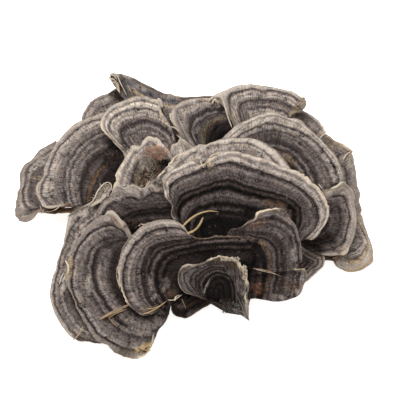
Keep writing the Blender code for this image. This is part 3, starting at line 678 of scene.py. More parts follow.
# From the back of the pile to the front.
# The darkest bands deep in each bracket are partly its own dark zones and partly painted shade, where the
# brackets lie under one another.
BRACKETS = (
    Bracket(
        "bottom_dark", "dark", (203, 286, 9),
        spots("171,300,9 172,310,7 175,316,5.5 184,318,4.5 194,314,5 204,307,6 213,303,7"),
        bands("shade 0, dark 1.5 4 6, shade 8.5, brown 10.5, dark 12.5, shade 14.5, black 17"),
        ruffle=0.3,
        stains_and_painted_light=marks(StainOrPaintedLight, "191,312 9,4 dim 0.8 20", "180,305 6,3 grey 0.9"),
    ),
    Bracket(
        "far_left", "pale", (106, 193, 9),
        spots("56,141,19 40,150,18 28,162,16.5 21,170,15.5 19,188,13 15,207,11 19,220,9.5 33,219,10 "
              "44,211,11"),
        bands("rim 0, ash 1 2, pale 3.2 4.5, taupe 6, dim 7.2 furrow, grey 8, ash 9.3 10.5, grey 12, "
              "dim 13.5, grey 18 20, dim 22, dusk 30"),
        ruffle=0.9, waves=2, light=0.9,
        tears=marks(Tear, "16,210 36,216 4.5 -0.4 0.3 ash"),
        pushes=marks(Push, "26,220 7 0,1.6", "43,216 7 -3,-3.5"),
        stains_and_painted_light=marks(
            StainOrPaintedLight, "31,217 9,2.5 sand 0.7 8", "30,221 5,1.6 ochre", "36,178 7,3 sand 0.5",
            "41,161 9,8 rim 0.7 40", "35,168 3,7 rim 0.8 -40", "21,217 1.6,1.4 brown 0.9",
            "26,220 2,1.3 brown 0.9", "32,221 2,1.2 dark 0.9", "38,219 1.6,1.2 brown 0.9",
            "56,210 18,6 rust 1 4"),
        guides=guides(
            "0: 74,131 56,141 45,146 36,153 28,161 22,167 20,176 19,188 16,202 14,214 18,226 34,228 52,220",
            "7: 74,140 57,148 46,153 37,159 30,166 26,173 25,182 23,192 23,201 27,207 35,209 46,206",
            "20: 76,150 60,158 49,166 42,174 38,184 37,194 40,203"),
    ),
    Bracket(
        "lower_left_back", "taupe", (114, 262, 10),
        spots("112,184,22 102,192,19 90,202,16.5 72,211,14 67,224,12 61,252,8.5 53,278,5.5 51,300,4 "
              "61,324,2.6 76,339,1.9 92,342,1.8 108,343,2"),
        bands("rim 0 1.2, pale 2.2, taupe 3.2, dusk 4.3 furrow, dim 5.1, taupe 6.2 7.5, grey 9 10, "
              "ash 11.5 12.8, dim 14 17, dusk 19, shade 21 34"),
        dome=-0.5, waves=4,
        pushes=marks(Push, "87,207 9 -1,-3.5 3", "97,200 9 -1,-2.5 2.5"),
        stains_and_painted_light=marks(
            # Painted light: the pale patches at 85,208 and 99,204 lift the shade that falls on the upper edge
            # under left.
            StainOrPaintedLight, "98,209 4,7 warm_rim 0.6 -15", "85,208 20,8 warm_rim 1 30", "83,229 5,7 rim 0.8 30",
            "99,204 8,8 rim 0.9", "67,317 4,14 dim 0.6 25", "64,284 3,9 rim 0.8",
            "84,340 12,4 dusk 0.9 -20"),
        guides=guides(
            "0: 122,180 102,192 90,202 72,211 67,224 61,252 53,278 51,300 61,324 76,339 96,348",
            "5: 118,196 101,206 88,213 78,221 71,232 66,243 62,256 59,269 56,283 55.5,296 58.5,309 "
            "64.5,319 74,331 85,338 98,341"),
    ),
    Bracket(
        "behind_left", "taupe", (142, 170, 17),
        spots("80,123,27 84,111,29 92,100,31 106,94,33 118,88,34 130,91,33"),
        bands("pale 0, ash 1.5, taupe 2.6, pale 4.5, ash 7, grey 10, taupe 14, grey 22, dusk 30"),
        ruffle=0.4,
        # Painted shadow: the dark patch is the shadow under top_curled's curled edge.
        stains_and_painted_light=marks(StainOrPaintedLight, "120,95 10,8 dark 0.95"),
    ),
    Bracket(
        "behind_right", "dark", (262, 172, 15),
        spots("284,117,29 297,110,30 308,112,29 319,121,28 327,132,26"),
        bands("rim 0 1.3, taupe 2.6, grey 5, taupe 7, grey 9 14, dusk 22"),
        ruffle=0.4, light=1.25,
        tears=marks(Tear, "320,124 328,134 2 0.2 0.3"),
        stains_and_painted_light=marks(StainOrPaintedLight, "297,114 8,4 black"),
    ),
    Bracket(
        "right_back", "pale", (276, 190, 11),
        spots("320,130,24 334,139,23 346,145,22 353,151,21 348,160,19"),
        bands("rim 0, sand 1.6, taupe 3.6 6, grey 8.5, dim 10.5, grey 12.5, dim 15"),
        ruffle=0.4, waves=2, light=1.2,
        tears=marks(Tear, "344,144 349,160 2.5 0.4 0.3"),
        stains_and_painted_light=marks(StainOrPaintedLight, "350,149 4,4 ochre 0.8", "348,147 2.2,1.8 dark 1", "332,146 8,5 sand 0.4 -35"),
    ),
    Bracket(
        "top_curled", "pale", (170, 165, 18),
        spots("119,93,32 117,85,36 110,80,39 110,75,41 120,73,41 132,77,40 146,85,39 162,92,38 180,96,37 "
              "200,96,36 216,94,36"),
        bands("ash 0, grey 1, dim 2 furrow, grey 3.5, slate 5.5 8, taupe 9.5, sand 11.5, ash 14, taupe 16, "
              "grey 19 26"),
        dome=1.5,
        tears=marks(Tear, "112,80 113,74 1.2 0.5 0.9"),
        pushes=marks(Push, "216,94 7 6,-1", "188,96 10 0,1.2"),
        stains_and_painted_light=marks(
            StainOrPaintedLight, "120,87 4,11 dark 0.95 -22", "116,79 3,4 brown 0.9", "125,82 2.5,8 olive 0.7 -25",
            "172,96 12,2.5 pale", "116,74.5 4,2 warm_rim 1 -10", "127,76.5 7,2 pale 0.95 -22",
            "131,94 7,4 dusk 0.8 -10", "141,88 7,3 pale 0.8 -30"),
    ),
    Bracket(
        "right_edge", "pale", (288, 208, 9),
        spots("342,156,19 352,154,19 356,170,17 359,192,14 361,210,11.5 356,222,10"),
        bands("rim 0, pale 2 4.5, ash 6.5, taupe 8.5, dim 10.3, taupe 12, pale 14"),
        ruffle=0.4,
        stains_and_painted_light=marks(StainOrPaintedLight, "348,156 5,6 sand 0.6"),
    ),
    Bracket(
        "far_right", "pale", (302, 232, 8),
        spots("350,212,12 360,214,12 366,231,10 372,247,8 372,262,6.5 360,270,6 346,271,6 336,260,7"),
        bands("rim 0, sand 1, rim 2.5 3.8, sand 4.8 5.8, grey 6.9 furrow, pale 8 9.2 10.4, ash 11.4, "
              "taupe 12.4, grey 13.4, ash 14.4 16, pale 18, ash 20 28"),
        waves=2, light=1.1,
        pushes=marks(Push, "340,264 7 -3,1"),
        stains_and_painted_light=marks(
            # Painted light: the pale patch at 341,263 lifts the shade where the sheet tilts away.
            StainOrPaintedLight, "352,264 12,6 sand 0.6 -20", "341,263 9,7 warm_rim 1 -10", "336,258 5,5 under 0.8"),
        guides=guides(
            "0: 344,202 352,208 360,217 366,231 372,247 372,260 362,270 346,272 334,264 324,256",
            "8: 346,212 354,219 360,228 365,238 366,244 362,250 355,255 345,257 330,253"),
    ),
    Bracket(
        "small_right", "dark", (290, 258, 8),
        spots("294,238,13 303,243,13 312,249,13 322,255,12 322,265,11 315,274,10 305,281,9 294,284,8"),
        bands("pale 0, ash 1.2, dusk 2.2 furrow, taupe 3.4 5.2, dusk 6.6, grey 7.8 9.2, dark 10.6 furrow, "
              "dim 12, dark 13.6, dim 15.4, dusk 17, dark 20"),
        # Painted light: light=1.8 lifts this bracket out of the shadow that right casts on it.
        ruffle=0.3, light=1.8,
        tears=marks(Tear, "321,253 323,259 2 0.2 0.2"),
        pushes=marks(Push, "321,261 8 2.2,0.5"),
    ),
    Bracket(
        "right", "taupe", (284, 218, 18),
        spots("320,190,24 332,189,24 343,183,24 352,190,22 355,204,20 357,215,18 353,236,15 347,251,13 "
              "334,256,12.5 316,253,13 300,246,14"),
        bands("pale 0, ash 1.2, pale 3, ash 4.2, taupe 5.3, dim 6.1, shade 6.9 furrow, dim 7.8, grey 9, "
              "dim 10.5, dusk 13, shade 14, dark 15, shade 16.5, dark 19, shade 21.5, dusk 23, dim 24, "
              "dusk 25.5, shade 27.5 32, dark 38"),
        light=1.25,
        tears=marks(Tear, "322,190 345,184 3.2 0.7 0.6", "350,248 340,256 2 0.2 0.3"),
        pushes=marks(Push, "326,191 9 0,-2 2"),
        stains_and_painted_light=marks(
            StainOrPaintedLight, "314,249 14,6 black 0.8", "334,220 5,14 grey 0.4", "328,193 14,4 warm_rim 1 5",
            "343,252 7,3 sand 0.7 35", "344,190 6,5 warm_rim 0.95", "339,251 4,2.5 brown 0.8 30"),
        guides=guides(
            "0: 300,196 320,191 332,189 341,184 348,187 352,193 354,203 356,213 354,225 352,236 348,247 "
            "339,256 326,258 310,257",
            "7: 300,202 320,199 333,197 341,196 345,201 348,209 349,218 347,228 344,238 338,246 328,250 "
            "316,251 304,251",
            "18: 306,214 320,209 331,209 336,214 337,222 334,231 328,238 318,242 304,243"),
    ),
    Bracket(
        "top_right", "taupe", (255, 162, 23),
        spots("236,146,28 232,130,32 227,117,34 219,100,37 222,92,39 235,86,40 250,83,40 268,86,39 "
              "287,91,38 300,95,37 307,101,36 303,110,34 291,116,32"),
        bands("warm_rim 0 2.2, rim 3.6, pale 4.6, grey 5.5, dim 6.4 furrow, grey 7.3, ash 8.3, pale 9.2, "
              "ash 11 12, pale 13.3, taupe 14.8, grey 16, dusk 17 18, dim 19.3, grey 21, taupe 22.8, "
              "grey 24, dim 25.6, taupe 27, pale 28.4, ash 30, pale 31, taupe 33 38"),
        waves=4, light=1.04,
        tears=marks(Tear, "232,132 217,97 1.8 0.4 0.3", "302,96 306,105 1.6 0.2 0.7 sand"),
        pushes=marks(Push, "220,98 6 -6,-1.5", "294,115 5 -1,-3"),
        stains_and_painted_light=marks(
            StainOrPaintedLight, "234,116 4,9 sand 0.5", "236,103 4,6 grey", "303,102 6,8 sand 0.75 20",
            # Painted shade: the dark patch at 294,115 fills the shaded gap between top_right's end and
            # right_large.
            "297,108 4,4 ochre 0.8", "294,115 6,4 dark 0.95 25"),
        guides=guides(
            "0: 242,150 231,129 225,116 218,101 220,94 228,88 238,85 250,83 264,85 278,88 292,91 303,95 "
            "318,101",
            "5.8: 246,144 237,128 231,116 229,105 229,98 233,93 241,90 249,88 257,89 262,91 272,90 284,93 "
            "294,97 304,105",
            "20: 256,140 247,126 242,114 242,107 248,104 256,103 266,102 276,103 284,106 292,111 300,120"),
    ),
    Bracket(
        "top_middle", "dark", (205, 165, 24),
        spots("170,162,27 182,146,30 178,134,33 172,121,36 171,110,38 178,104,39 190,99,40 202,98,40 "
              "214,99,39 224,107,36 231,120,33 240,140,29"),
        bands("pale 0, rim 1, pale 2.5, ash 3.4, taupe 4.5 furrow, pale 6 7.8, ash 9.5, taupe 11, "
              "grey 12.3, dusk 14, shade 15.8 17, dim 18.2, grey 19.4, slate 20.6, shade 22, dusk 23 25, "
              "olive 27.5 29.8, brown 31, shade 32.4, dark 34, ink 36 40, black 44"),
        dome=0.5,
        tears=marks(Tear, "176,130 170,112 2.6 0.6 0.6", "208,98 218,102 3 0.8 0.4"),
        stains_and_painted_light=marks(
            StainOrPaintedLight, "185,133 3,8 olive 0.5 10", "218,107 8,5 ink 1 -20", "197,129 6,3 taupe 0.7 50"),
        guides=guides(
            "0: 192,160 182,144 178,134 174,125 171,116 172,109 180,104 190,99 202,98 216,97 232,100",
            "5: 196,150 187,138 182,128 178,119 178,112 184,108 191,106 196,104 201,102 215,103 232,107",
            "19: 199,146 194,138 192,129 197,120 204,115.5 211,113 220,111 234,113",
            "33: 206,146 207,137 210,130 215,124.5 222,121 234,120"),
    ),
    Bracket(
        "left", "dark", (134, 188, 19),
        spots("130,128,30 117,117,32 104,113,33 92,117,32 78,122,30 66,131,28 56,143,25.5 49,156,23 "
              "44,167,21 43,178,20 37,186,18.5 38,199,16.5 46,208,15 61,207,15 76,207,15.5 98,200,17"),
        bands("rim 0 1, pale 2.8, ash 4.2, grey 5.1, dim 5.9 furrow, taupe 6.9, pale 8 10, ash 12 14, "
              "taupe 15.6, grey 17.2 19.5, dim 21, dusk 22.2, dim 23.2, taupe 24.6 26, dim 27.2 28.8, "
              "taupe 30.6, grey 33, dim 34.4, grey 36.4, dim 38, shade 39.4, dark 41, shade 43, dusk 45, "
              "shade 46.4, brown 47.6 49.8, shade 51.4, dark 52.6, shade 54, dark 55.6, ink 58 66"),
        dome=0.5, waves=4, under=Hue.RUST,
        tears=marks(Tear, "40,203 60,208 2 0.2 0.3 warm_rim"),
        stains_and_painted_light=marks(
            StainOrPaintedLight, "66,206 10,3 rust 0.6 4", "62,186 4,5 slate", "65,198 3,8 navy 0.85",
            "53,199 4,5 slate 0.5", "98,141 10,4 shade 0.9 25", "52,187 9,3 rim 0.5",
            "118,147 16,6 black 0.85 -30", "113,158 13,9 ink 0.9 30", "57,203 7,5 dim 0.9"),
        guides=guides(
            "0: 130,110 116,111 104,114 92,117 80,122 70,129 61,138 55,146 49,156 45,165 43,176 38,184 "
            "37,192 39,200 45,209 60,222",
            "6: 130,120 116,118 104,119.5 95,121 84,125 74,132 66,139 59,147 54,156 50,165 48,174 44,183 "
            "42,190 43,196 46,201 54,206 68,212",
            "24: 124,129 111,130 100,134 91,139 82,146 75,155 69,165 66,176 66,188 68,199 74,210",
            "38: 126,141 112,144 100,149 91,156 84,165 80,175 78,187 80,199 84,212",
            "46: 128,152 118,154 110,157 103,162 97,169 92,177 88,187 86,198 87,212"),
    ),
    Bracket(
        "upper_left", "taupe", (150, 168, 26),
        spots("128,168,28 124,155,31 112,141,33 103,131,34 101,120,35 107,109,36 118,102,37 134,97,38 "
              "148,97,38 160,101,38 161,111,37 170,124,36 175,136,34 176,148,31 176,160,28"),
        bands("ash 0, rim 1 2.3, pale 3.5, taupe 4.6 furrow, pale 5.6, warm_rim 6.6 9, pale 10, taupe 11, "
              "dim 12 furrow, taupe 13, pale 14 15.6, ash 17.2, pale 20, taupe 21.4, grey 23, dusk 25, "
              "shade 27, dusk 28.4, dim 30, taupe 31.8, grey 33.2, dim 34.6 36, taupe 37.4, grey 39, "
              "dim 42, dusk 44, shade 50"),
        waves=4, light=1.02,
        tears=marks(Tear, "106,134 102,120 1.8 0.3 0.4", "154,98 162,112 3 0.8 0.3"),
        stains_and_painted_light=marks(
            StainOrPaintedLight, "166,121 5,8 sand 0.6 30", "113,137 4,6 grey 0.6", "175,142 4,8 pale 0.8",
            "124,134 3,7 navy 0.6", "123,144 5,9 shade 0.95 30"),
        guides=guides(
            "0: 130,172 121,152 112,141 104,133 100.5,126 101,118 106,110 113,104 122,100.5 133,97.5 "
            "143,96.5 152,97 162,100 176,105 194,114",
            "4.5: 133,160 121,148 112,138 106,130 105,122 108,115 114,109 123,105 133,102 143,100.5 "
            "152,102 163,106 178,113",
            "10.5: 136,156 124,147 115,138 109,131 108,124 111,118 117,113 125,110 135,108 144,107 153,109 "
            "163,113 178,122",
            "26: 140,156 129,148 122,139 121,131 126,126 134,123 143,121 152,122 161,126 170,133 178,146",
            "33: 142,152 132,146 127,139 129,134 135,130 143,127 151,127 160,131 168,138 174,152"),
    ),
    Bracket(
        "small_crumpled", "pale", (190, 182, 27),
        spots("168,153,31 172,145,33 181,140,34 190,144,33 197,150,32"),
        bands("warm_rim 0, rim 2.5, pale 4 7, rim 10, sand 18"),
        ruffle=0.5, waves=2,
        tears=marks(Tear, "168,153 197,150 2 0.5 0.5 warm_rim"),
    ),
    Bracket(
        "small_ruffled", "pale", (160, 196, 26),
        spots("112,191,25 117,179,27 122,164,29 131,150,31 144,140,32 155,136,33 163,143,32 170,151,31 "
              "176,164,29 178,180,28"),
        bands("pale 0, rim 1, warm_rim 2.2 3.5, pale 4.8, taupe 6 furrow, pale 7.8, ash 10, taupe 11.3, "
              "dim 12.4, shade 13.6 14.6, olive 15.8, ochre 17.2, sand 18.6, ochre 20.5, brown 22.5, "
              "ochre 24, brown 26, ochre 29, brown 34"),
        tears=marks(Tear, "150,137 160,140 1.8 0.4 0.3", "113,188 119,172 1.6 0.3 0.4"),
        pushes=marks(
            Push, "155,135 3.5 0,2.4", "148,139 3.5 -0.8,-1.4", "139.5,144 2.6 1.6,3.2",
            "133,147 4 -1.6,-1.6", "119,171 8 -2.2,-0.5"),
        stains_and_painted_light=marks(
            StainOrPaintedLight, "159,154 9,8 salmon 0.8", "150,174 14,10 brown 0.9", "147,163 8,8 rim 0.9",
            "128,186 14,3 rim", "157,181 7,4 warm_rim 1", "167,166 8,8 black 1",
            "150,149 7,4 olive 0.4 20"),
        guides=guides(
            "0: 106,200 112,189 116,178 119,168 123,158 128,150 134,144 140,142 146,138 153,136 159,138 "
            "165,143 171,149 178,158 184,176",
            "5: 112,204 119,188 122,178 125,168 129,160 134,153 140,149 146,144 153,142 158,146 164,151 "
            "170,160 176,178",
            "11: 120,204 127,190 130,178 133,168 138,160 143,153 149,149 156,151 161,158 166,168 168,180"),
    ),
    Bracket(
        "right_large", "taupe", (258, 192, 25),
        spots("222,140,34 232,129,36 245,121,37 258,115,38 272,111,38 287,117,37 300,120,36 313,132,34.5 "
              "326,144,32.5 336,158,30.5 342,175,28 338,186,26 322,189,25"),
        bands("rim 0, warm_rim 1.2 2.3, ash 3.3 furrow, pale 4.2, rim 5.4 7, pale 8.4, ash 9.5, grey 10.3, "
              "dusk 11.2 furrow, grey 12.1, ash 13.2 15, grey 16.2, dim 17.4, grey 19, dim 20.6, "
              "grey 22.5, dim 24, dusk 25.4, shade 27.4 29.2, dusk 30.4, grey 31.6, dim 32.8, "
              "shade 34.2 36, grey 37.8, dim 39.6, shade 41, dark 44, ochre 46, shade 50"),
        ruffle=0.9, waves=4, light=0.95,
        stains_and_painted_light=marks(
            # Painted shade: the dark patch at 334,185 fills the shaded gap between right_large and right.
            StainOrPaintedLight, "268,136 20,8 dark 0.55 5", "290,160 10,5 ochre 0.5 -35", "334,185 5,3 dark 0.9"),
        guides=guides(
            "0: 208,152 221,141 232,131 243,122 254,116.5 264,113 274,112 285,115 296,119 305,126 315,134 "
            "325,144 333,155 339,167 343,178 344,192",
            "3.6: 210,156 223,144 234,134 244,126 255,120 265,116.5 275,116 286,119 297,123.5 307,130 "
            "317,139 326.5,149 334.5,160.5 339.5,172 341.5,184 341.5,194",
            "11: 214,160 226,147 237,137 247,131 257,127 266,124 276,124 287,127 298,131 308,135.5 "
            "316.4,142.2 324.8,152 331.8,162.6 337,173 338.8,184 338.5,195",
            "24: 228,168 240,154 250,145 260,140 272,138 284,140 295,145 304,153 311,162 317,172 320,184 "
            "320,196",
            "34: 240,172 252,158 264,151 276,149 287,152 297,159 304,168 309,178 311,190"),
    ),
    Bracket(
        "lower_left", "taupe", (154, 284, 14),
        spots("132,235,21 123,221,22 111,212,22 99,217,20 87,228,18 75,243,15 68,262,12 67,281,9 "
              "76,303,6.5 87,325,4.3 98,340,3 107,344,2.7 115,351,2.1 129,356,1.6 143,356,1.6 151,348,2.2 "
              "157,334,4.5 168,316,8 172,302,11"),
        bands("pale 0, ash 1 3.5, taupe 5, dim 6.1, shade 7 furrow, shade 7.9, grey 8.9, ash 10.2, "
              "taupe 12, grey 14.5 18, dim 20.4, dusk 22 23.6, grey 24.8 27, dusk 28, dark 29.2 30.2, "
              "shade 31.3, dim 32.6, taupe 34.2 35.8, grey 37.5 39.5, dim 41, dusk 42.3, shade 43.6, "
              "dark 45.4 49, shade 52 60"),
        dome=1.5, waves=5, light=0.9,
        tears=marks(Tear, "133,234 103,213 3.4 0.3 0.25 warm_rim", "138,353 155,342 2.4 0.2 0.4"),
        pushes=marks(Push, "110,216 11 0.5,-2 5", "126,227 9 1,-0.5 2.5"),
        stains_and_painted_light=marks(
            StainOrPaintedLight, "68,268 5,13 sand 1 -4", "145,346 10,5 straw 0.8 30", "122,350 14,6 olive 0.6 -10",
            "138,321 18,5 taupe 0.7 -10", "118,221 14,4 sand 0.6 -40", "106,216 10,6 rim 0.9",
            "161,313 5,5 grey 0.8", "89,283 4,9 pale", "155,337 4,4 dusk 0.8", "100,258 3,9 shade 0.8 -15",
            # Painted shadow: the dark and dusk patches at 106-126 across, 232-250 down stand for the shadow
            # of front_left.
            "136,328 7,3 ash 0.7 -20", "117,244 18,11 dark 0.85 10", "112,232 9,5 dusk 0.8",
            "126,238 8,8 dark 0.9", "106,250 6,12 dusk 0.7 -20", "152,323 15,7 ash 0.8 40"),
        guides=guides(
            "0: 146,246 131,234 124,225 117,216 110,211.5 102,214 96,220 88,228 80,237 73,248 68,262 "
            "67,276 70,290 76,303 82,315 89,328 98,340 107,344 115,351 129,356 143,357 160,362",
            "6.5: 146,252 131,240 122,231 113,226 104,226 96,229 88,235 80,244 75,254 72.5,265 71,278 "
            "72.5,291 77.5,302 84,313 91.5,325 99,334 107,339 116,344 128,349 142,350 158,352",
            "27: 140,240 124,239 112,241 104,244 98,248 94,254 92,262 91,272 92,282 96,292 102,301 108,310 "
            "114,318 122,325 131,330 142,332 156,332 172,330",
            "45: 138,247 126,247 117,252 113,260 111,270 112,280 115,290 120,299 128,307 138,313 150,315 "
            "168,313"),
    ),
    Bracket(
        "middle_left", "dark", (185, 236, 25),
        spots("97,214,20 101,204,23 109,196,25.5 122,188,27.5 137,187,29 142,190,29 151,184,30 "
              "164,186,30.5 174,196,30.5"),
        bands("rim 0, taupe 1 2.2, ash 3.5 6.2, taupe 7.6, grey 8.5, dusk 9.4, dark 10.5 furrow, "
              "shade 11.4, dusk 13 14.4 15.8, shade 17.2, dusk 18.4, shade 20 22.6, dark 24, black 25.3, "
              "ink 27, black 29, ink 30.8, dark 32.2, shade 33.6, dark 35, ink 36.6, shade 38.2, dusk 40"),
        waves=4,
        tears=marks(Tear, "112,193 165,186 1.4 0.3 0.3 warm_rim"),
        pushes=marks(
            Push, "141.5,190 3.2 0,-0.8", "125,188 3.2 0,1.5", "133,186 5 0,-2.6", "152,184 9 0,-3.8",
            "118,190 7 -1,-3.4"),
        stains_and_painted_light=marks(
            StainOrPaintedLight, "118,196 8,5 ash 0.8 35", "133,190 10,4 pale 0.8", "155,187 12,4 pale 0.8",
            "141.5,196 1.8,8 dusk 0.8", "125,195 1.4,6 grey 0.6 -10"),
        guides=guides(
            "0: 84,232 96,214 101,204 108,196 115,191 122,187.5 131,186 138,187 141,190 146,185.5 "
            "154,183.5 164,184 174,188 190,192",
            "8.8: 92,236 99,221 103,211 107,205 112,201 119,198 127,196 134,196 140,199 146,196 153,193 "
            "162,192 172,193 188,198",
            "24: 102,238 110,226 118,219 127,214 137,210 148,207.5 160,207 172,207 188,210",
            "33: 112,240 122,229 133,221 145,217.5 158,217 172,217 188,219"),
    ),
    Bracket(
        "middle_upper", "dark", (226, 218, 26),
        spots("158,181,31 166,168,33 178,155,35 190,149,36 205,145,37 222,139,38 240,138,38 256,139,38 "
              "270,146,37 282,158,36 290,169,35"),
        bands("ash 0, warm_rim 1 2.6, rim 3.6, ash 4.6, taupe 5.6 furrow, pale 6.8 10, ash 12, taupe 13.4, "
              "grey 14.4, dim 15.6, dark 22"),
        dome=0.5, waves=4,
        tears=marks(Tear, "158,182 186,151 1.2 0.2 0.3"),
        pushes=marks(Push, "198,147 5 0,-1.6"),
        stains_and_painted_light=marks(
            StainOrPaintedLight, "200,160 9,4 rim 0.8 20", "251,152 9,4 grey 0.8 -15", "163,171 4,8 dusk 0.9 -40",
            "172,161 4,8 dim 0.8 -50", "199,148.5 9,3 warm_rim 0.9 15"),
        guides=guides(
            "0: 150,194 158,181 166,170 174,160 182,153 190,149 198,146 210,142 224,139.5 238,138 252,138 "
            "262,142 271,148 279,156 288,167 297,178",
            "5: 158,196 165,184 173,172 181,162 190,155 200,149.5 212,146 224,144 238,143 250,144 259,148 "
            "267,154 274,162 283,174"),
    ),
    Bracket(
        "middle", "dark", (230, 258, 24),
        spots("200,264,22 179,242,24 167,216,28 161,196,32 164,180,34 177,167,36 192,161,37 203,168,37 "
              "208,158,38 225,151,38.5 242,153,39 260,158,39 280,165,38 300,174,37 318,187,35.5 "
              "326,200,33.5 328,214,31.5 322,228,29.5 311,240,28 299,236,28 285,245,28"),
        bands("rim 0, warm_rim 1.2 2.3, pale 3.3, taupe 5 furrow, ash 6.4, pale 8.4, ash 10, taupe 11, "
              "dusk 12, dark 13 furrow, shade 14, dusk 15.4, grey 17 18.6, dim 20, dusk 22 24.5, "
              "shade 25.8, dusk 27.6, shade 29, ink 30, black 31.2, dark 32.6 34.4, black 36 38.6, "
              "dark 40.4, dusk 42.4 45, shade 46.8 49.2, ink 51, black 53.4, ink 55.4, shade 57.6, "
              "ink 59.6, black 61.4, ink 64.4, black 67 80"),
        dome=1.5, ruffle=0.9, waves=6, light=1.07,
        tears=marks(
            Tear, "208,158 217,153 3 0.5 0.5", "290,169 328,206 1.4 0.3 0.5", "199,163 204,166 2 0.2 0.2"),
        pushes=marks(
            Push, "163,192 5 3,0", "163,205 8 9,0", "171,223 10 6,0", "303,241 5 2,-3", "204,169 5 0,-4.5"),
        stains_and_painted_light=marks(
            StainOrPaintedLight, "207,164 6,4 sand", "274,204 14,4 brown 0.7 -5", "212,170 8,5 olive 0.4",
            "307,213 6,17 dusk 0.65 15", "312,213 3,8 dark 0.8 10", "252,213 20,6 black 1",
            "163,192 3,8 dim 0.8", "171,204 5,12 dark 0.7 10"),
        guides=guides(
            "0: 184,246 169,218 161,196 162,181 168,173 178,166.5 190,161.5 198,161 204,165 209,159 "
            "216,154.5 225,151.5 235,151 247,154 259,158 270,161 281,165.5 294,171 306,178 317,186 324,196 "
            "328,206 328,215 324,225 317,233 310,241 298,258",
            "13: 176,232 168,214 167,198 170,187 175,181 183,177 192,174 203,171 213,167 222,164 231,163 "
            "241,166 254,170.5 268,174.5 281,179 293,185 303.5,191.5 311,200 316,209.5 317.5,219 314,228 "
            "306,237 294,252",
            "34: 180,240 174,224 175,211 181,201 190,195 200,191 211,187 220,184 229,184 239,188 250,191 "
            "262,194 274,197 285,200 293,205 297,212 297,221 293,232 284,246",
            "50: 188,246 184,231 185,219 190,211 197,206 206,203 216,201 227,201 240,203 254,206 266,209 "
            "275,213 281,221 279,236"),
    ),
    Bracket(
        "front_right", "brown", (236, 276, 23),
        spots("224,240,34 229,231,35 240,227,35.5 249,219,36 258,212,37 270,208,37.5 282,210,37 289,218,36 "
              "297,229,34.5 301,245,32 301,259,29 295,269,27.5 303,268,26 305,278,23.5 299,293,20 "
              "281,300,18.5 262,299,19.5 246,297,21"),
        bands("taupe 0, dusk 0.9, grey 2 3, dim 4, grey 5, dusk 6, shade 6.9, dark 8 furrow, shade 9, "
              "dusk 10, dim 11, dusk 12.2, shade 13.6, dusk 15.8 20, shade 21.5, dark 24 25.4, "
              "shade 27.4 28.5, ink 29.5, dark 31, dusk 32.4 33.6, shade 35, brown 37, shade 38.5, ink 40, "
              "black 42, ink 44, shade 46, dark 48.5, ink 50, dark 52, ink 56"),
        dome=1.5, waves=5, light=1.14,
        tears=marks(Tear, "254,216 278,209 2.8 0.7 0.5", "290,273 304,268 2.8 0.5 0.4"),
        pushes=marks(Push, "252,217 4 2,2"),
        stains_and_painted_light=marks(
            StainOrPaintedLight, "256,225 13,5 brown 0.65 20", "257,288 6,8 rust 0.35", "294,286 12,8 brown 0.55",
            "262,243 6,2 ochre 0.7 -30", "238,232 15,4 dark 0.85 4", "276,211 12,3 olive 0.6 -10",
            "285,213 7,4 dark 0.9 -30", "301,285 3,9 ash", "257,256 8,17 black 0.95",
            "294,255 4,7 taupe 0.8", "278,297 12,4 taupe", "298,291 5,5 ash 0.6"),
        guides=guides(
            "0: 212,226 228,227 240,225.5 249,219 256,213 263,209 271,207.5 280,208.5 287,213 293,221 "
            "298,230 301,241 302,252 302,262 304,272 305,282 302,294 296,306",
            "8: 212,228 228,228.5 241,228 250,223 259,219.5 268,219 277,220 284,223 290,227 294,233 "
            "297,241 298,250 298,260 298,272 297,284 292,298",
            "22: 212,230 226,230 240,230.5 252,231 263,232 272,234 278,238 282,243 284,250 285,258 285,268 "
            "284,280 281,292 277,306",
            "42: 214,241 228,240 240,240 249,242 257,247 262,254 264,262 264,272 262,284 258,300"),
    ),
    Bracket(
        "front_left", "brown", (216, 276, 23),
        spots("252,268,28 252,250,32 243,238,34 228,236,34 210,236,33 197,238,32.5 189,233,32 183,225,32 "
              "172,219,31.5 158,220,30.5 142,226,29 130,237,27 121,252,24.5 118,272,21.5 122,289,18.5 "
              "130,305,16 143,314,14 153,313,14.5 162,305,16.5 173,297,19"),
        bands("taupe 0, ash 1, pale 3, ash 5, taupe 6.2, dusk 7, dark 7.9 furrow, shade 8.8, dim 10, "
              "grey 11.5, taupe 13.3, grey 14.6, dim 16, grey 17.4, dusk 19 20.2, dim 21.8, dusk 23, "
              "dark 24.2, ink 25.2, dark 26, ink 27, dark 28.3, shade 29.7, dark 31, black 32.2, dark 34, "
              "dusk 36, shade 37.6, ink 39, black 42, dark 44.7, black 47.5, ink 52 58, black 62 75"),
        dome=1.5, waves=5, light=1.06,
        tears=marks(
            Tear, "118,268 127,301 1.6 0.2 0.3", "178,221 186,230 1.2 0.3 0.3",
            "190,235 243,238 0.8 0.1 0.2 brown"),
        pushes=marks(Push, "253,253 12 0,0 -1.4"),
        stains_and_painted_light=marks(
            StainOrPaintedLight, "170,293 7,6 brown 0.5", "151,285 2.5,9 taupe 0.8 5", "150,309 15,4 olive 0.8 10",
            "155,295 2.5,5 taupe 0.9 -30", "164,288 2.5,5 taupe 0.8", "166,281 5,8 dim 0.8",
            "143,225 3,2 cream 0.8", "129,238 7,4 dim 0.7 45", "125,245 3,7 dusk 0.8 -30",
            "136,308 7,4 dusk 0.8 -45"),
        guides=guides(
            "0: 262,205 240,206 217,211 202,219 192,225 184,225 176,220 166,218.5 155,220.5 143,225 "
            "132,234 124,246 119,259 117.5,272 120,286 126,299 134,309 144,316 156,319 172,320",
            "7.5: 262,220 240,220 218,223 204,227 194,230 186,230 178,227 168,227 157,229.5 147,233.5 "
            "138,240.5 131,249 126,260 123.5,272 124,285 127.5,298 134.5,307.5 145,313 157,315 172,314",
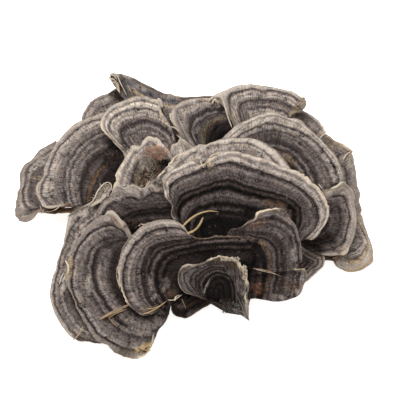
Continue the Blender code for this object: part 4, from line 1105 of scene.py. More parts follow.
            "24: 262,231 240,232 220,232.5 205,234 193,237 181,239 169,241 158,243 151,247 146,254 143,264 "
            "142,275 143,286 147,297 156,310",
            "42: 262,244 240,244 220,244.5 201,246 187,249 175,252 167,256 161,263 158,272 158,281 160,290 "
            "166,300 172,310",
            "53: 262,254 240,254 217,254 199,256 185,259 176,264 170,272 169,281 171,291 178,302"),
    ),
    Bracket(
        "front_small", "pale", (228, 306, 6),
        spots("207,294,18 196,294,22 184,291,26 178,278,31 184,265,34.5 195,264,36 205,261,37 213,257,38.5 "
              "224,256,39 236,259,37.5 243,267,33.5 248,280,28 247,297,17 248,310,8 249,320,2"),
        bands("ash 0, dim 0.8 2.5, grey 4, dark 5.2, dim 6.6 8.5, ink 10, dusk 11.6 13, ink 14.6, "
              "shade 16.5, ink 18.5, dusk 20.8, ink 22.6, black 24.3, shade 26, dark 27, ink 28.2, "
              "black 29.4, ink 33, black 36, ink 38, black 40"),
        dome=2, ruffle=0.5,
        tears=marks(
            Tear, "208,259 221,256 1.3 0.8 0.4", "222,256 248,281 3.2 1.1 0.8",
            "248,296 248,306 1.8 0.3 0.5 sand", "182,268 194,264 1.8 0.3 0.2 warm_rim"),
        stains_and_painted_light=marks(
            StainOrPaintedLight, "228,263 15,4 brown 0.75 -15", "179,275 2.5,5 dark 0.9", "241,268 3,7 brown 0.7 20",
            "238,283 3,13 grey 0.8 8", "184,268 4,3 brown 0.6 30", "247,304 4,14 rim 0.95 8",
            "242,304 1.5,11 brown 0.9 8", "230,272 7,3 grey 0.6 -35", "212,263 7,3 dark 0.9 20",
            "206,286 1.6,7 taupe 0.8 -30", "189,272 5,4 grey 0.5", "230,303 9,5 moss 0.8 -15",
            "229,304 4,3 rust 0.9", "240,315 5,5 dark 0.9"),
        guides=guides(
            "0: 216,302 200,297 188,293.5 181,287 178,278 179,270 185,264.5 194,263.5 201,262 209,258 "
            "218,256.5 228,256 236,259 242,265 246,275 249,287 250,302 252,326",
            "14: 210,302 201,294 196,286 196,277 201,271 208,267 217,266 226,267.5 233,272 238,279 240,289 "
            "241,304 243,320",
            "28: 207,302 206,293 208,285 212,279 218,275.5 224,276.5 229,281 231,290 232,306"),
    ),
)


# -------------------------------------------------------------------------------------- fine brackets


# Patches of stain, painted shade and painted light all share this uneven border.
PATCH_FRAY = 0.35  # how uneven a stain's border is, as a share of its size
PATCH_FRAY_LENGTH = 2.2 * MM
PATCH_BORDER = (0.55, 1.15)  # where it begins to fade and where it ends, as shares of its size


def stain_and_light_colours(stains_and_painted_light: Sequence[StainOrPaintedLight], flat: np.ndarray, noise: Noise) -> np.ndarray:
    """The colour and strength of stains, painted shade and painted light at places (..., 2) across the view.

    Args:
        stains_and_painted_light: The stains and the patches of painted shade and painted light.
        flat: The places, in metres.
        noise: For their uneven borders.

    Returns:
        Red, green, blue and strength at each place.
    """
    found = np.zeros((*flat.shape[:-1], 4))
    for stain_or_light in stains_and_painted_light:
        turn = math.radians(stain_or_light.tilt)
        gap = flat - flat_place(stain_or_light.place)
        x = gap[..., 0] * math.cos(turn) + gap[..., 1] * math.sin(turn)
        y = gap[..., 1] * math.cos(turn) - gap[..., 0] * math.sin(turn)
        spread = np.hypot(x / (stain_or_light.size[0] * UNIT), y / (stain_or_light.size[1] * UNIT))
        across, up = np.moveaxis(flat, -1, 0) / PATCH_FRAY_LENGTH
        spread += PATCH_FRAY * noise.layered(across, up, 8.0, layers=2)
        share = stain_or_light.strength * (1 - eased_step(*PATCH_BORDER, spread))
        new = share > found[..., 3]
        found[new, :3] = stain_or_light.hue.linear()[:3]
        found[..., 3] = np.maximum(found[..., 3], share)
    return found


def spread_rows(total: float) -> np.ndarray:
    """Distances from the edge of the fine rows, in metres, up to total."""
    close = np.array(RIM_ROWS) * MM
    count = max(int((total - close[-1]) / ROW), 2)
    return np.concatenate((close, np.linspace(close[-1], total, count + 1)[1:]))


def spread_columns(length: float) -> np.ndarray:
    """Shares of an edge's length at the fine columns, closer together at both ends.

    Args:
        length: The edge's length, in metres.

    Returns:
        The shares, from 0 to 1.
    """
    close = np.array(RIM_ROWS) * MM / length
    count = max(round(length / COLUMN), 12)
    middle = np.linspace(close[-1], 1 - close[-1], count)
    return np.concatenate((close[:-1], middle, 1 - close[-2::-1]))


class Sheet:
    """A bracket's two sides on a fine grid, as it lies on the pile."""

    ROUND = 0.62 * MM  # the rim's radius
    ATTACH = 0.55 * MM  # how much further a root reaches than its solid, which keeps clear of the pile
    WANDER = 0.5 * MM  # how far the edge wanders from its smooth line
    FLUTE = 0.28 * MM  # height of the fine waves near the edge
    RIB = 0.14 * MM  # height of the low ribs that run out to the edge
    TERRACE = 0.13 * MM  # height of the concentric steps
    FURROW = 0.16 * MM  # depth of the furrow at a dark line
    FURROW_HALF = 0.45 * MM  # about half its width
    TEAR_SOFT = 1.6 * MM  # how softly a torn stretch begins and ends
    SMOOTH_RIM = 1.2  # how far in the low relief starts, in millimetres

    def __init__(self, bracket: Bracket, solid: bpy.types.Object, seed: int) -> None:
        """Lays the grid.

        Args:
            bracket: The bracket.
            solid: Its solid, for how far it was lifted on to the pile.
            seed: For its unevenness.
        """
        self.bracket = bracket
        self.noise = Noise(seed)
        self.curve = smooth_curve(sight_place(bracket.edge))
        self.hinge = sight_place([bracket.hinge])[0]
        self.length = run_along(self.curve)[-1]
        self.reach = float(np.linalg.norm(self.curve[:, :2] - self.hinge[:2], axis=1).mean())
        self.shares = spread_columns(self.length)
        self.reaches = 1 - spread_rows((1 - ROOT_REACH) * self.reach)[::-1] / self.reach
        self.upper = self.analytic(self.shares, self.reaches)
        lift, self.root = self.lift(solid)
        self.upper[..., 2] += lift
        self.measure()
        self.shape()

    def analytic(self, shares: np.ndarray, reaches: np.ndarray) -> np.ndarray:
        """The upper side before it settles, at shares of the edge and reaches from the hinge.

        Args:
            shares: Shares of the edge's length.
            reaches: Shares of the way from the hinge to the edge.

        Returns:
            The points, by share and reach.
        """
        bracket = self.bracket
        edge = along(self.curve, shares)
        points = self.hinge + (edge[:, None, :] - self.hinge) * reaches[None, :, None]
        t = reaches[None, :]
        bulge = bracket.dome * 4 * t * (1 - t)
        lip = bracket.lip * np.clip((t - 0.75) / 0.25, 0, 1) ** 2
        turn = 2 * math.pi * (bracket.waves * shares[:, None] + bracket.phase)
        waves = bracket.ruffle * t**2 * (np.sin(turn) + 0.4 * np.sin(2.3 * turn + 1.0))
        points[..., 2] += (bulge + lip + waves) * MM
        return points

    def lift(self, solid: bpy.types.Object) -> tuple[np.ndarray, np.ndarray]:
        """How far each fine point was lifted on to the pile and how thick it is, from the solid.

        Args:
            solid: The bracket's solid.

        Returns:
            The lift, then the thickness, each by column and row.
        """
        around = min(max(round(self.length / FACET), FEWEST_FACETS), MOST_FACETS)
        rings = min(max(round(self.reach / RING_FACET), FEWEST_RINGS), MOST_RINGS)
        shares, reaches = np.linspace(0, 1, around + 1), np.linspace(ROOT_REACH, 1, rings + 1)
        plain = self.analytic(shares, reaches)
        corners = np.empty(len(solid.data.vertices) * 3, np.float32)
        solid.data.vertices.foreach_get("co", corners)
        corners = to_sight(corners.reshape(-1, 3).astype(float))
        found = np.zeros((2, *plain.shape[:2]))
        for index in np.ndindex(plain.shape[:2]):
            near = np.abs(corners[:, :2] - plain[index][:2]).max(1) < MATCH
            if near.any():
                high, low = corners[near, 2].max(), corners[near, 2].min()
                found[:, *index] = high - plain[index][2], high - low
            else:
                LOG.warning("%s: corner %s not found", self.bracket.name, index)
        fine = (self.smoothly(values, shares, self.shares) for values in found)
        lifts, thickness = (self.smoothly(values.T, reaches, self.reaches).T for values in fine)
        return lifts, thickness

    @staticmethod
    def smoothly(values: np.ndarray, at: np.ndarray, wanted: np.ndarray) -> np.ndarray:
        """Values along their first side, at evenly spaced places, found smoothly at the wanted ones.

        Args:
            values: One row for each place.
            at: The evenly spaced places.
            wanted: The places asked for.

        Returns:
            The values found there.
        """
        step = at[1] - at[0]
        place = np.clip((wanted - at[0]) / step, 0, len(at) - 1 - 1e-9)
        cell = place.astype(int)
        share = (place - cell)[:, None]
        rows = np.vstack((values[:1], values, values[-1:], values[-1:]))
        p0, p1, p2, p3 = (rows[cell + k] for k in range(4))
        bend = 2 * p0 - 5 * p1 + 4 * p2 - p3
        twist = 3 * (p1 - p2) + p3 - p0
        found = p1 + 0.5 * share * ((p2 - p0) + share * (bend + share * twist))
        return np.clip(found, np.minimum(p1, p2), np.maximum(p1, p2) + 0.15 * MM)

    def measure(self) -> None:
        """Finds how far each point is in from the edge and from the whole border, and its place along it."""
        flat = self.upper[..., :2].reshape(-1, 2)
        shape = self.upper.shape[:2]
        edge = self.curve[:, :2]
        self.inward = nearest(flat, edge).reshape(shape)
        self.border = self.inward
        for end in (edge[0], edge[-1]):
            side = np.stack((self.hinge[:2], end))
            self.border = np.minimum(self.border, nearest(flat, side).reshape(shape))
        self.border[:, -1] = 0.0
        self.border[0], self.border[-1] = 0.0, 0.0
        self.depth = self.banded(flat).reshape(shape)
        self.around = np.repeat(self.shares[:, None] * self.length, shape[1], axis=1)

    def banded(self, flat: np.ndarray) -> np.ndarray:
        """How far in each place (n, 2) is for the bands, in metres, from the guides.

        Args:
            flat: Places across the view.

        Returns:
            The distances, one for each place.
        """
        edge = self.curve[:, :2]
        if not self.bracket.guides:
            return nearest(flat, edge)
        spokes = edge - self.hinge[:2]
        turned = np.sum(spokes[:-1, 0] * spokes[1:, 1] - spokes[:-1, 1] * spokes[1:, 0])
        hand = 1.0 if turned > 0 else -1.0  # which side of its edge the bracket lies on
        before = None
        for guide in self.bracket.guides:
            line = smooth_curve(np.array([flat_place(place) for place in guide.course]), 6)
            gap = hand * beside(flat, line)
            level = guide.inward * UNIT
            if before is None:
                found, inside = np.maximum(gap, 0.0), gap > 0
            else:
                last_level, last_gap = before
                share = last_gap / np.maximum(last_gap - gap, 1e-9)
                between = inside & (gap <= 0)
                found[between] = last_level + (level - last_level) * share[between]
                inside = inside & (gap > 0)
                found[inside] = level + gap[inside]
            before = level, gap
        return found

    def share_near(self, place: Place) -> float:
        """The share of the edge's length nearest to a spot of the view."""
        gap = np.linalg.norm(self.curve[:, :2] - flat_place(place), axis=1)
        run = run_along(self.curve)
        return float(run[gap.argmin()] / run[-1])

    def torn(self, tear: Tear) -> np.ndarray:
        """How far each column belongs to a tear, from 0 to 1.

        Args:
            tear: The tear.

        Returns:
            The shares, one for each column.
        """
        low, high = sorted((self.share_near(tear.start), self.share_near(tear.end)))
        soft = self.TEAR_SOFT / self.length
        begun = eased_step(low - soft, low + soft, self.shares)
        return begun * (1 - eased_step(high - soft, high + soft, self.shares))

    def tear(self) -> tuple[np.ndarray, np.ndarray]:
        """Finds where flesh is bare, and how far torn stretches reach out and turn up, in metres.

        As in shape, lengths are in millimetres, and a plain number as the noise's last place only
        picks another part of it.
        """
        noise, a, d = self.noise, self.around / MM, self.inward / MM
        jag, curl = np.zeros(d.shape), np.zeros(d.shape)
        self.bare = np.zeros((*d.shape, 4)) + (*Hue.CREAM.linear()[:3], 0.0)
        ragged = noise.layered(a / 1.1, 3.1, layers=3)
        for tear in self.bracket.tears:
            part = self.torn(tear)[:, None]
            jag += part * ragged * tear.jag * MM * np.exp(-d / 1.2)
            curl += part * (1 + 0.5 * noise(a / 2.0, 9.0)) * tear.curl * MM * np.exp(-((d / 1.3) ** 2))
            depth = tear.depth * UNIT / MM * (1 + 0.45 * noise.layered(a / 1.5, 6.0, layers=2))
            flesh = part * (1 - eased_step(0.7, 1.15, d / depth))
            self.bare[flesh > self.bare[..., 3], :3] = tear.hue.linear()[:3]
            self.bare[..., 3] = np.maximum(self.bare[..., 3], flesh)
        return jag, curl

    def furrows(self) -> np.ndarray:
        """How deep in a furrow each point is, from 0 to 1."""
        found = np.zeros(self.depth.shape)
        for band in self.bracket.bands:
            if band.furrow:
                off = (self.depth - band.inward * UNIT) / self.FURROW_HALF
                found = np.maximum(found, np.exp(-(off**2)))
        return found

    def shape(self) -> None:
        """Adds the wandering edge, tears, pushes, waves, ribs, terraces and furrows."""
        noise, a, d = self.noise, self.around / MM, self.inward / MM
        outward = self.upper[..., :2] - self.hinge[:2]
        outward /= np.maximum(np.linalg.norm(outward, axis=2, keepdims=True), 1e-9)
        jag, curl = self.tear()
        wander = noise.layered(a / 4.2, 0.7, layers=3) * self.WANDER * np.exp(-d / 2.5)
        self.upper[..., :2] += outward * (wander + jag)[..., None]
        for push in self.bracket.pushes:
            gap = np.linalg.norm(self.upper[..., :2] - flat_place(push.place), axis=2)
            move = np.array((push.move[0] * UNIT, -push.move[1] * UNIT, push.nearer * MM))
            self.upper += np.exp(-((gap / (push.reach * UNIT)) ** 2))[..., None] * move
        flute = noise.layered(a / 5.0, d / 14, 2.2, layers=2) * self.FLUTE * np.exp(-d / 7)
        rib = noise(a / 1.9, d / 9, 4.4) * self.RIB * np.exp(-d / 18)
        terrace = noise.layered(a / 40, self.depth / MM / 1.5, 7.7, layers=2) * self.TERRACE
        low = rib + terrace - self.furrows() * self.FURROW
        self.upper[..., 2] += flute + curl + eased_step(0.0, self.SMOOTH_RIM, d) * low
        further = self.ATTACH * eased_step(3 * MM, 6 * MM, self.root)
        uneven = EDGE_THICKNESS * 0.2 * noise(a / 3.0, 1.5) + 0.5 * np.abs(jag)
        thickness = np.maximum(self.root, EDGE_THICKNESS) + further + uneven
        self.split(thickness)

    def split(self, thickness: np.ndarray) -> None:
        """Rounds the rim and sets the lower side off from the upper one.

        Args:
            thickness: How thick the sheet is at each point, in metres.
        """
        fall = np.clip(self.border / self.ROUND, 0, 1)
        full = np.sqrt(np.clip(1 - (1 - fall) ** 2, 0, 1))
        sheet = np.minimum(thickness, ROOT_THICKNESS)
        middle = self.upper[..., 2] - sheet / 2
        self.lower = self.upper.copy()
        self.upper[..., 2] = middle + sheet / 2 * full
        self.lower[..., 2] = middle - (thickness - sheet / 2) * full

    def mesh(self, name: str) -> bpy.types.Mesh:
        """Makes the closed mesh, with what its finish needs at each point.

        Args:
            name: The mesh's name.

        Returns:
            The mesh.
        """
        columns, rows = self.upper.shape[:2]
        top = np.arange(columns * rows).reshape(columns, rows)
        inside = np.zeros((columns, rows), bool)
        inside[1:-1, :-1] = True
        under = top.copy()
        under[inside] = columns * rows + np.arange(inside.sum())
        points = np.vstack((self.upper.reshape(-1, 3), self.lower[inside]))
        root = np.stack((top[:-1, 0], top[1:, 0], under[1:, 0], under[:-1, 0]), axis=-1)
        faces = np.concatenate((quads(top), quads(under)[:, ::-1], root))
        mesh = mesh_of(name, from_sight(points), faces)
        side = np.concatenate((np.zeros(columns * rows), np.ones(inside.sum())))
        side[: columns * rows][(self.border < 1e-9).ravel()] = 0.5
        fine = {"zone": self.depth, "around": self.around, "inward": self.inward}
        for key, values in fine.items():
            store(mesh, key, np.concatenate((values.ravel(), values[inside])) / MM)
        store(mesh, "under", side)
        tint = stain_and_light_colours(self.bracket.stains_and_painted_light, self.upper[..., :2], self.noise)
        for key, values in {"tint": tint, "bare": self.bare}.items():
            store(mesh, key, np.vstack((values.reshape(-1, 4), values[inside])), "FLOAT_COLOR")
        return mesh


def mesh_of(name: str, points: np.ndarray, faces: Sequence[Sequence[int]] | np.ndarray) -> bpy.types.Mesh:
    """Makes a smooth shaded mesh; a face that repeats a corner keeps it once.

    Args:
        name: Its name.
        points: Its points, one row each.
        faces: The numbers of each face's corners.

    Returns:
        The mesh.
    """
    mesh = bpy.data.meshes.new(name)
    kept = []
    for face in faces:
        corners = list(dict.fromkeys(int(k) for k in face))
        if len(corners) > 2:
            kept.append(corners)
    mesh.from_pydata(points.tolist(), [], kept)
    mesh.shade_smooth()
    mesh.update()
    return mesh


def quads(grid: np.ndarray) -> np.ndarray:
    """The faces (n, 4) between the rows and columns of a grid of point numbers."""
    corners = (grid[:-1, :-1], grid[:-1, 1:], grid[1:, 1:], grid[1:, :-1])
    return np.stack(corners, axis=-1).reshape(-1, 4)


def store(mesh: bpy.types.Mesh, name: str, values: np.ndarray, kind: str = "FLOAT") -> None:
    """Stores values at a mesh's points."""
    made = mesh.attributes.new(name, kind, "POINT")
    key = "value" if kind == "FLOAT" else "color"
    made.data.foreach_set(key, np.ascontiguousarray(values, dtype=np.float32).ravel())


def place_object(name: str, data: bpy.types.ID) -> bpy.types.Object:
    """Puts an object with its data in the scene."""
    made = bpy.data.objects.new(name, data)
    bpy.context.scene.collection.objects.link(made)
    return made


def place_piece(name: str, mesh: bpy.types.Mesh, material: bpy.types.Material,
                nodes: Sequence[str] = ()) -> bpy.types.Object:
    """Puts a piece in the scene, on the clump's body.

    Args:
        name: The piece's name.
        mesh: Its mesh.
        material: Its finish.
        nodes: The solids that it stands for.

    Returns:
        The piece.
    """
    piece = place_object(name, mesh)
    mesh.materials.append(material)
    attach(piece, "root")
    if nodes:
        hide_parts(*nodes)
    LOG.info("%s: %d points, %d faces", name, len(mesh.vertices), len(mesh.polygons))
    return piece


# ------------------------------------------------------------------------------------------- finishes


@dataclass(frozen=True)
class BracketFinish:
    """The velvety banded skin of a bracket.

    Attributes:
        wobble: How far a band wanders, in millimetres.
        fibre, ring, sector, cloud, grain: How strongly its radial fibres, fine rings, broad rays, clouds
            and grain show.
        warmth: How far its patches lean towards brown or grey.
        edge: How far each band is set off from those beside it.
        relief: Height of the fine relief, in metres.
        pore: Size of the underside's pores, in metres.
    """

    wobble: float = 0.75
    fibre: float = 0.46
    ring: float = 0.36
    sector: float = 0.5
    cloud: float = 0.65
    grain: float = 1.3
    warmth: float = 0.16
    edge: float = 0.4
    relief: float = 0.2 * MM
    pore: float = 0.28 * MM

    def sharpened(self, bracket: Bracket) -> list[tuple[float, ...]]:
        """A bracket's band colours, each set off a little from those beside it.

        Args:
            bracket: The bracket.

        Returns:
            Red, green, blue and alpha of each band.
        """
        plain = np.array([band.hue.linear()[:3] for band in bracket.bands])
        near = (np.vstack((plain[:1], plain[:-1])) + np.vstack((plain[1:], plain[-1:]))) / 2
        found = np.clip(plain + self.edge * (plain - near), 0.6 * plain, 1.5 * plain)
        return [(*colour, 1.0) for colour in found.tolist()]

    def material(self, bracket: Bracket) -> bpy.types.Material:
        """Makes the material of one bracket.

        Scales are per metre for noise at a place on the object, and per millimetre for noise at a
        place on the sheet, which is (around, zone).
        """
        graph = Graph(f"skin_{bracket.name}")
        zone, around = graph.attribute("zone"), graph.attribute("around")
        flesh, under = graph.attribute("bare", "Alpha"), graph.attribute("under")
        place = graph.place()
        warp = graph.noise(place, 260.0, 3.0, 0.6) - 0.5
        fibres = graph.noise(graph.vector(around * 1.4 + warp, zone * 0.3), 1.0, 3.0, 0.65)
        rings = graph.noise(graph.vector(around * 0.2, zone * 1.2 + warp), 1.0, 3.0, 0.65)
        sectors = graph.noise(graph.vector(around * 0.24, zone * 0.06), 1.0, 3.0, 0.55)
        cloud = graph.noise(place, 420.0, 3.0, 0.6)
        grain = graph.noise(place, 1500.0, 2.0, 0.8)
        slow = graph.noise(graph.vector(around * 0.3, zone * 0.12), 1.0, 2.0)
        drift = slow.swing(1.2 * self.wobble) + fibres.swing(0.65 * self.wobble)
        deepest = bracket.bands[-1].inward * UNIT / MM
        places = (band.inward * UNIT / MM / deepest for band in bracket.bands)
        stops = list(zip(places, self.sharpened(bracket)))
        held = zone.between(0.0, 1.6)
        colour = graph.ramp((zone + drift * held) / deepest, stops)
        tone = fibres.between(0.3, 0.7).swing(self.fibre)
        tone = tone + rings.between(0.3, 0.7).swing(self.ring)
        tone = tone + cloud.swing(self.cloud) + grain.swing(self.grain)
        tone = tone * (0.5 + 0.5 * zone.between(0.5, 4.0)) + 1.0 + sectors.swing(self.sector)
        # Painted light and shade: the whole bracket lighter or darker for how much light reaches it.
        tone = tone * bracket.light
        lean = graph.noise(graph.vector(around * 0.3, zone * 0.5), 1.0, 3.0, 0.6).swing(self.warmth)
        tone = graph.vector(tone * (1.0 + lean), tone, tone * (1.0 - lean))
        colour = graph.mix(1.0, colour, tone, "MULTIPLY")
        # Stains, with painted shade and painted light among them, laid over the bands.
        patch = graph.attribute("tint", "Alpha") * cloud.between(0.25, 0.5)
        tint = graph.mix(1.0, graph.attribute("tint", "Color"), tone, "MULTIPLY")
        colour = graph.mix(patch.clamped(), colour, tint)
        dusty = graph.noise(place, 200.0, 2.0).between(0.45, 0.65)
        dust = graph.cells(place, 420.0).between(0.2, 0.05) * dusty
        colour = graph.mix((dust * 0.5).clamped(), colour, Hue.SAND)
        rubbed = graph.attribute("inward").between(0.55, 0.1) * zone.between(2.5, 0.8)
        worn = rubbed * fibres.between(0.3, 0.6) * 0.7
        colour = graph.mix(worn.clamped(), colour, Hue.SAND)
        torn = graph.mix(cloud.between(0.35, 0.85), graph.attribute("bare", "Color"), Hue.SAND)
        colour = graph.mix((flesh * (fibres + 0.45)).clamped(), colour, torn)
        pores = graph.cells(place, 1 / self.pore)
        below = graph.mix(cloud, bracket.under, Hue.SAND)
        below = graph.mix(pores.between(0.5, 0.15), below, Hue.BROWN)
        beneath = under.between(0.5, 0.75)
        colour = graph.mix(beneath, colour, below)
        height = fibres * 0.34 + rings * 0.34 + grain * 0.14 + cloud * 0.35 + pores * beneath * 0.25
        graph.bump(height, self.relief * 3)
        graph.surface(colour, 0.85 + grain.swing(0.1), specular=0.03)
        return graph.material


@dataclass(frozen=True)
class BaseFinish:
    """The rough greenish black foot, and the paler cut under it.

    Attributes:
        lump: Height of its lumps, in metres.
    """

    lump: float = 0.9 * MM

    def material(self) -> bpy.types.Material:
        """Makes the material."""
        graph = Graph("skin_base")
        place = graph.place()
        coarse = graph.noise(place, 160.0, 5.0, 0.65)
        fine = graph.noise(place, 900.0, 4.0, 0.7)
        moss = graph.noise(place, 90.0, 2.0)
        cut = graph.attribute("cut")
        colour = graph.mix(coarse.between(0.35, 0.7), Hue.BLACK, Hue.MOSS)
        colour = graph.mix(moss.between(0.55, 0.7) * 0.6, colour, Hue.BROWN)
        speck = graph.noise(place, 260.0, 1.0).between(0.68, 0.74)
        colour = graph.mix(speck * 0.6, colour, Hue.OCHRE)
        grain = graph.noise(graph.vector(graph.cells(place, 40.0) * 30.0, coarse), 3.0, 4.0)
        wood = graph.mix(grain, Hue.WOOD, Hue.OCHRE)
        colour = graph.mix(graph.attribute("tint", "Alpha"), colour, graph.attribute("tint", "Color"))
        colour = graph.mix(cut, colour, wood)
        graph.bump(coarse * 0.6 + fine * 0.4, self.lump)
        graph.surface(colour, 0.85 + fine.swing(0.1), specular=0.25)
        return graph.material


@dataclass(frozen=True)
class StrandFinish:
    """Dry grass or litter: a fibrous colour that varies from strand to strand.

    Attributes:
        name: The material's name.
        first, second: Its two main colours.
        third: A rarer colour.
    """

    name: str
    first: Hue
    second: Hue
    third: Hue

    def material(self) -> bpy.types.Material:
        """Makes the material."""
        graph = Graph(self.name)
        place = graph.place()
        lot = graph.attribute("lot")
        fine = graph.noise(place, 1500.0, 3.0, 0.6)
        grooves = graph.vector(graph.attribute("across") * 9.0, graph.attribute("along") * 0.6)
        streak = graph.noise(grooves, 1.0, 3.0)
        colour = graph.mix((lot + fine.swing(0.25)).clamped(), self.first, self.second)
        colour = graph.mix(lot.between(0.78, 0.9), colour, self.third)
        tone = 0.75 + streak * 0.5
        colour = graph.mix(1.0, colour, graph.vector(tone, tone, tone), "MULTIPLY")
        graph.bump(streak + fine * 0.3, 0.12 * MM)
        graph.surface(colour, 0.65 + fine.swing(0.15), sheen=0.05)
        return graph.material


@dataclass(frozen=True)
class FloorFinish:
    """The plain pale floor.

    Attributes:
        shade: How light it is.
        glow: How much light of its own it gives.
    """

    shade: float = 0.92
    glow: float = 0.8

    def material(self) -> bpy.types.Material:
        """Makes the material."""
        graph = Graph("floor_paper")
        faint = graph.noise(graph.place(), 6.0, 2.0)
        tone = self.shade + faint.swing(0.005)
        graph.surface(graph.vector(tone, tone, tone), 0.9, specular=0.1)
        graph.shader.inputs["Emission Color"].default_value = (1.0, 1.0, 1.0, 1.0)
        graph.shader.inputs["Emission Strength"].default_value = self.glow
        return graph.material


# --------------------------------------------------------------------------------------- other pieces


@dataclass
class Pile:
    """How near the viewer the brackets come, for the small things that lie on them.

    Attributes:
        points: Points of its top in sight coordinates, from left to right.
        reach: How far around a place its top is looked for, in metres.
    """

    points: np.ndarray = field(default_factory=lambda: np.zeros((0, 3)))
    reach: float = 0.7 * MM

    def add(self, points: np.ndarray) -> None:
        """Adds points in sight coordinates."""
        points = np.vstack((self.points, points.reshape(-1, 3)))
        self.points = points[points[:, 0].argsort()]

    def top(self, flat: np.ndarray) -> float:
        """How near the viewer the pile comes at (u, v), in metres.

        Args:
            flat: The place, (u, v), in metres.

        Returns:
            The height towards the viewer.
        """
        low, high = np.searchsorted(self.points[:, 0], (flat[0] - self.reach, flat[0] + self.reach))
        more = 0.1 * MM
        for points in (self.points[low:high], self.points):
            gap = np.linalg.norm(points[:, :2] - flat, axis=1)
            least = gap.min(initial=math.inf)
            if least < self.reach - more:
                break
        return float(points[gap < max(self.reach, least + more), 2].max())

    def course(self, rises: Sequence[Spot], steps: int = 6) -> np.ndarray:
        """A smooth line over the pile, in world coordinates.

        Args:
            rises: (across, down, rise) along it, with the rise above the pile in millimetres.
            steps: How many straight bits it has between two of them.

        Returns:
            The line's points.
        """
        line = np.array([(*flat_place(spot[:2]), spot[2] * MM) for spot in rises])
        line = smooth_curve(line, steps)
        tops = np.array([self.top(point[:2]) for point in line])
        padded = np.pad(tops, 2, mode="edge")
        line[:, 2] += sum(padded[k:k + len(tops)] for k in range(5)) / 5
        return from_sight(line)


@dataclass
class Rosette:
    """All the brackets.

    Attributes:
        nodes: The solids by name.
        finish: Their skin.
    """

    nodes: dict[str, bpy.types.Object]
    finish: BracketFinish = BracketFinish()

    def build(self) -> Pile:
        """Builds every bracket in the place of its solid, and returns the pile that they make."""
        pile = Pile()
        for seed, bracket in enumerate(BRACKETS):
            node = f"bracket_{bracket.name}"
            sheet = Sheet(bracket, self.nodes[node], 100 + seed)
            mesh = sheet.mesh(f"fan_{bracket.name}")
            material = self.finish.material(bracket)
            place_piece(f"fan_{bracket.name}", mesh, material, [node])
            pile.add(sheet.upper)
        return pile


# The foot as in the solids, in millimetres: its footprint, the spot that it is built around, its rings as
# (share of the footprint, height), and how far it bulges.
FOOTPRINT = (
    (-14, -30), (-4, -30.5), (5, -31.5), (11, -36), (16, -37), (19.5, -37.5), (21, -29),
    (26, -22.5), (33, -18), (39, -12), (43, -4), (43, 9), (38, 23), (25, 36), (1, 41), (-22, 38),
    (-36, 27), (-43, 14), (-45, 1), (-43, -10), (-36, -22), (-25, -29),
)
BASE_MIDDLE = (1.0, 1.0)
BASE_RINGS = (
    (1.0, 0.0), (1.0, 3.0), (0.95, 8.0), (0.86, 13.5), (0.73, 18.5), (0.55, 22.5), (0.35, 25.0),
    (0.15, 26.5),
)
BASE_LUMP = 1.1
FOOT_STAINS = marks(
    StainOrPaintedLight, "226,305 7,5 brown 0.9", "237,307 5,6 olive 0.8", "212,296 3,2 grey", "226,292 2,1.5 pale 0.8",
    "219,300 4,3 olive 0.6", "230,299 6,3 dusk 0.7 20"
)


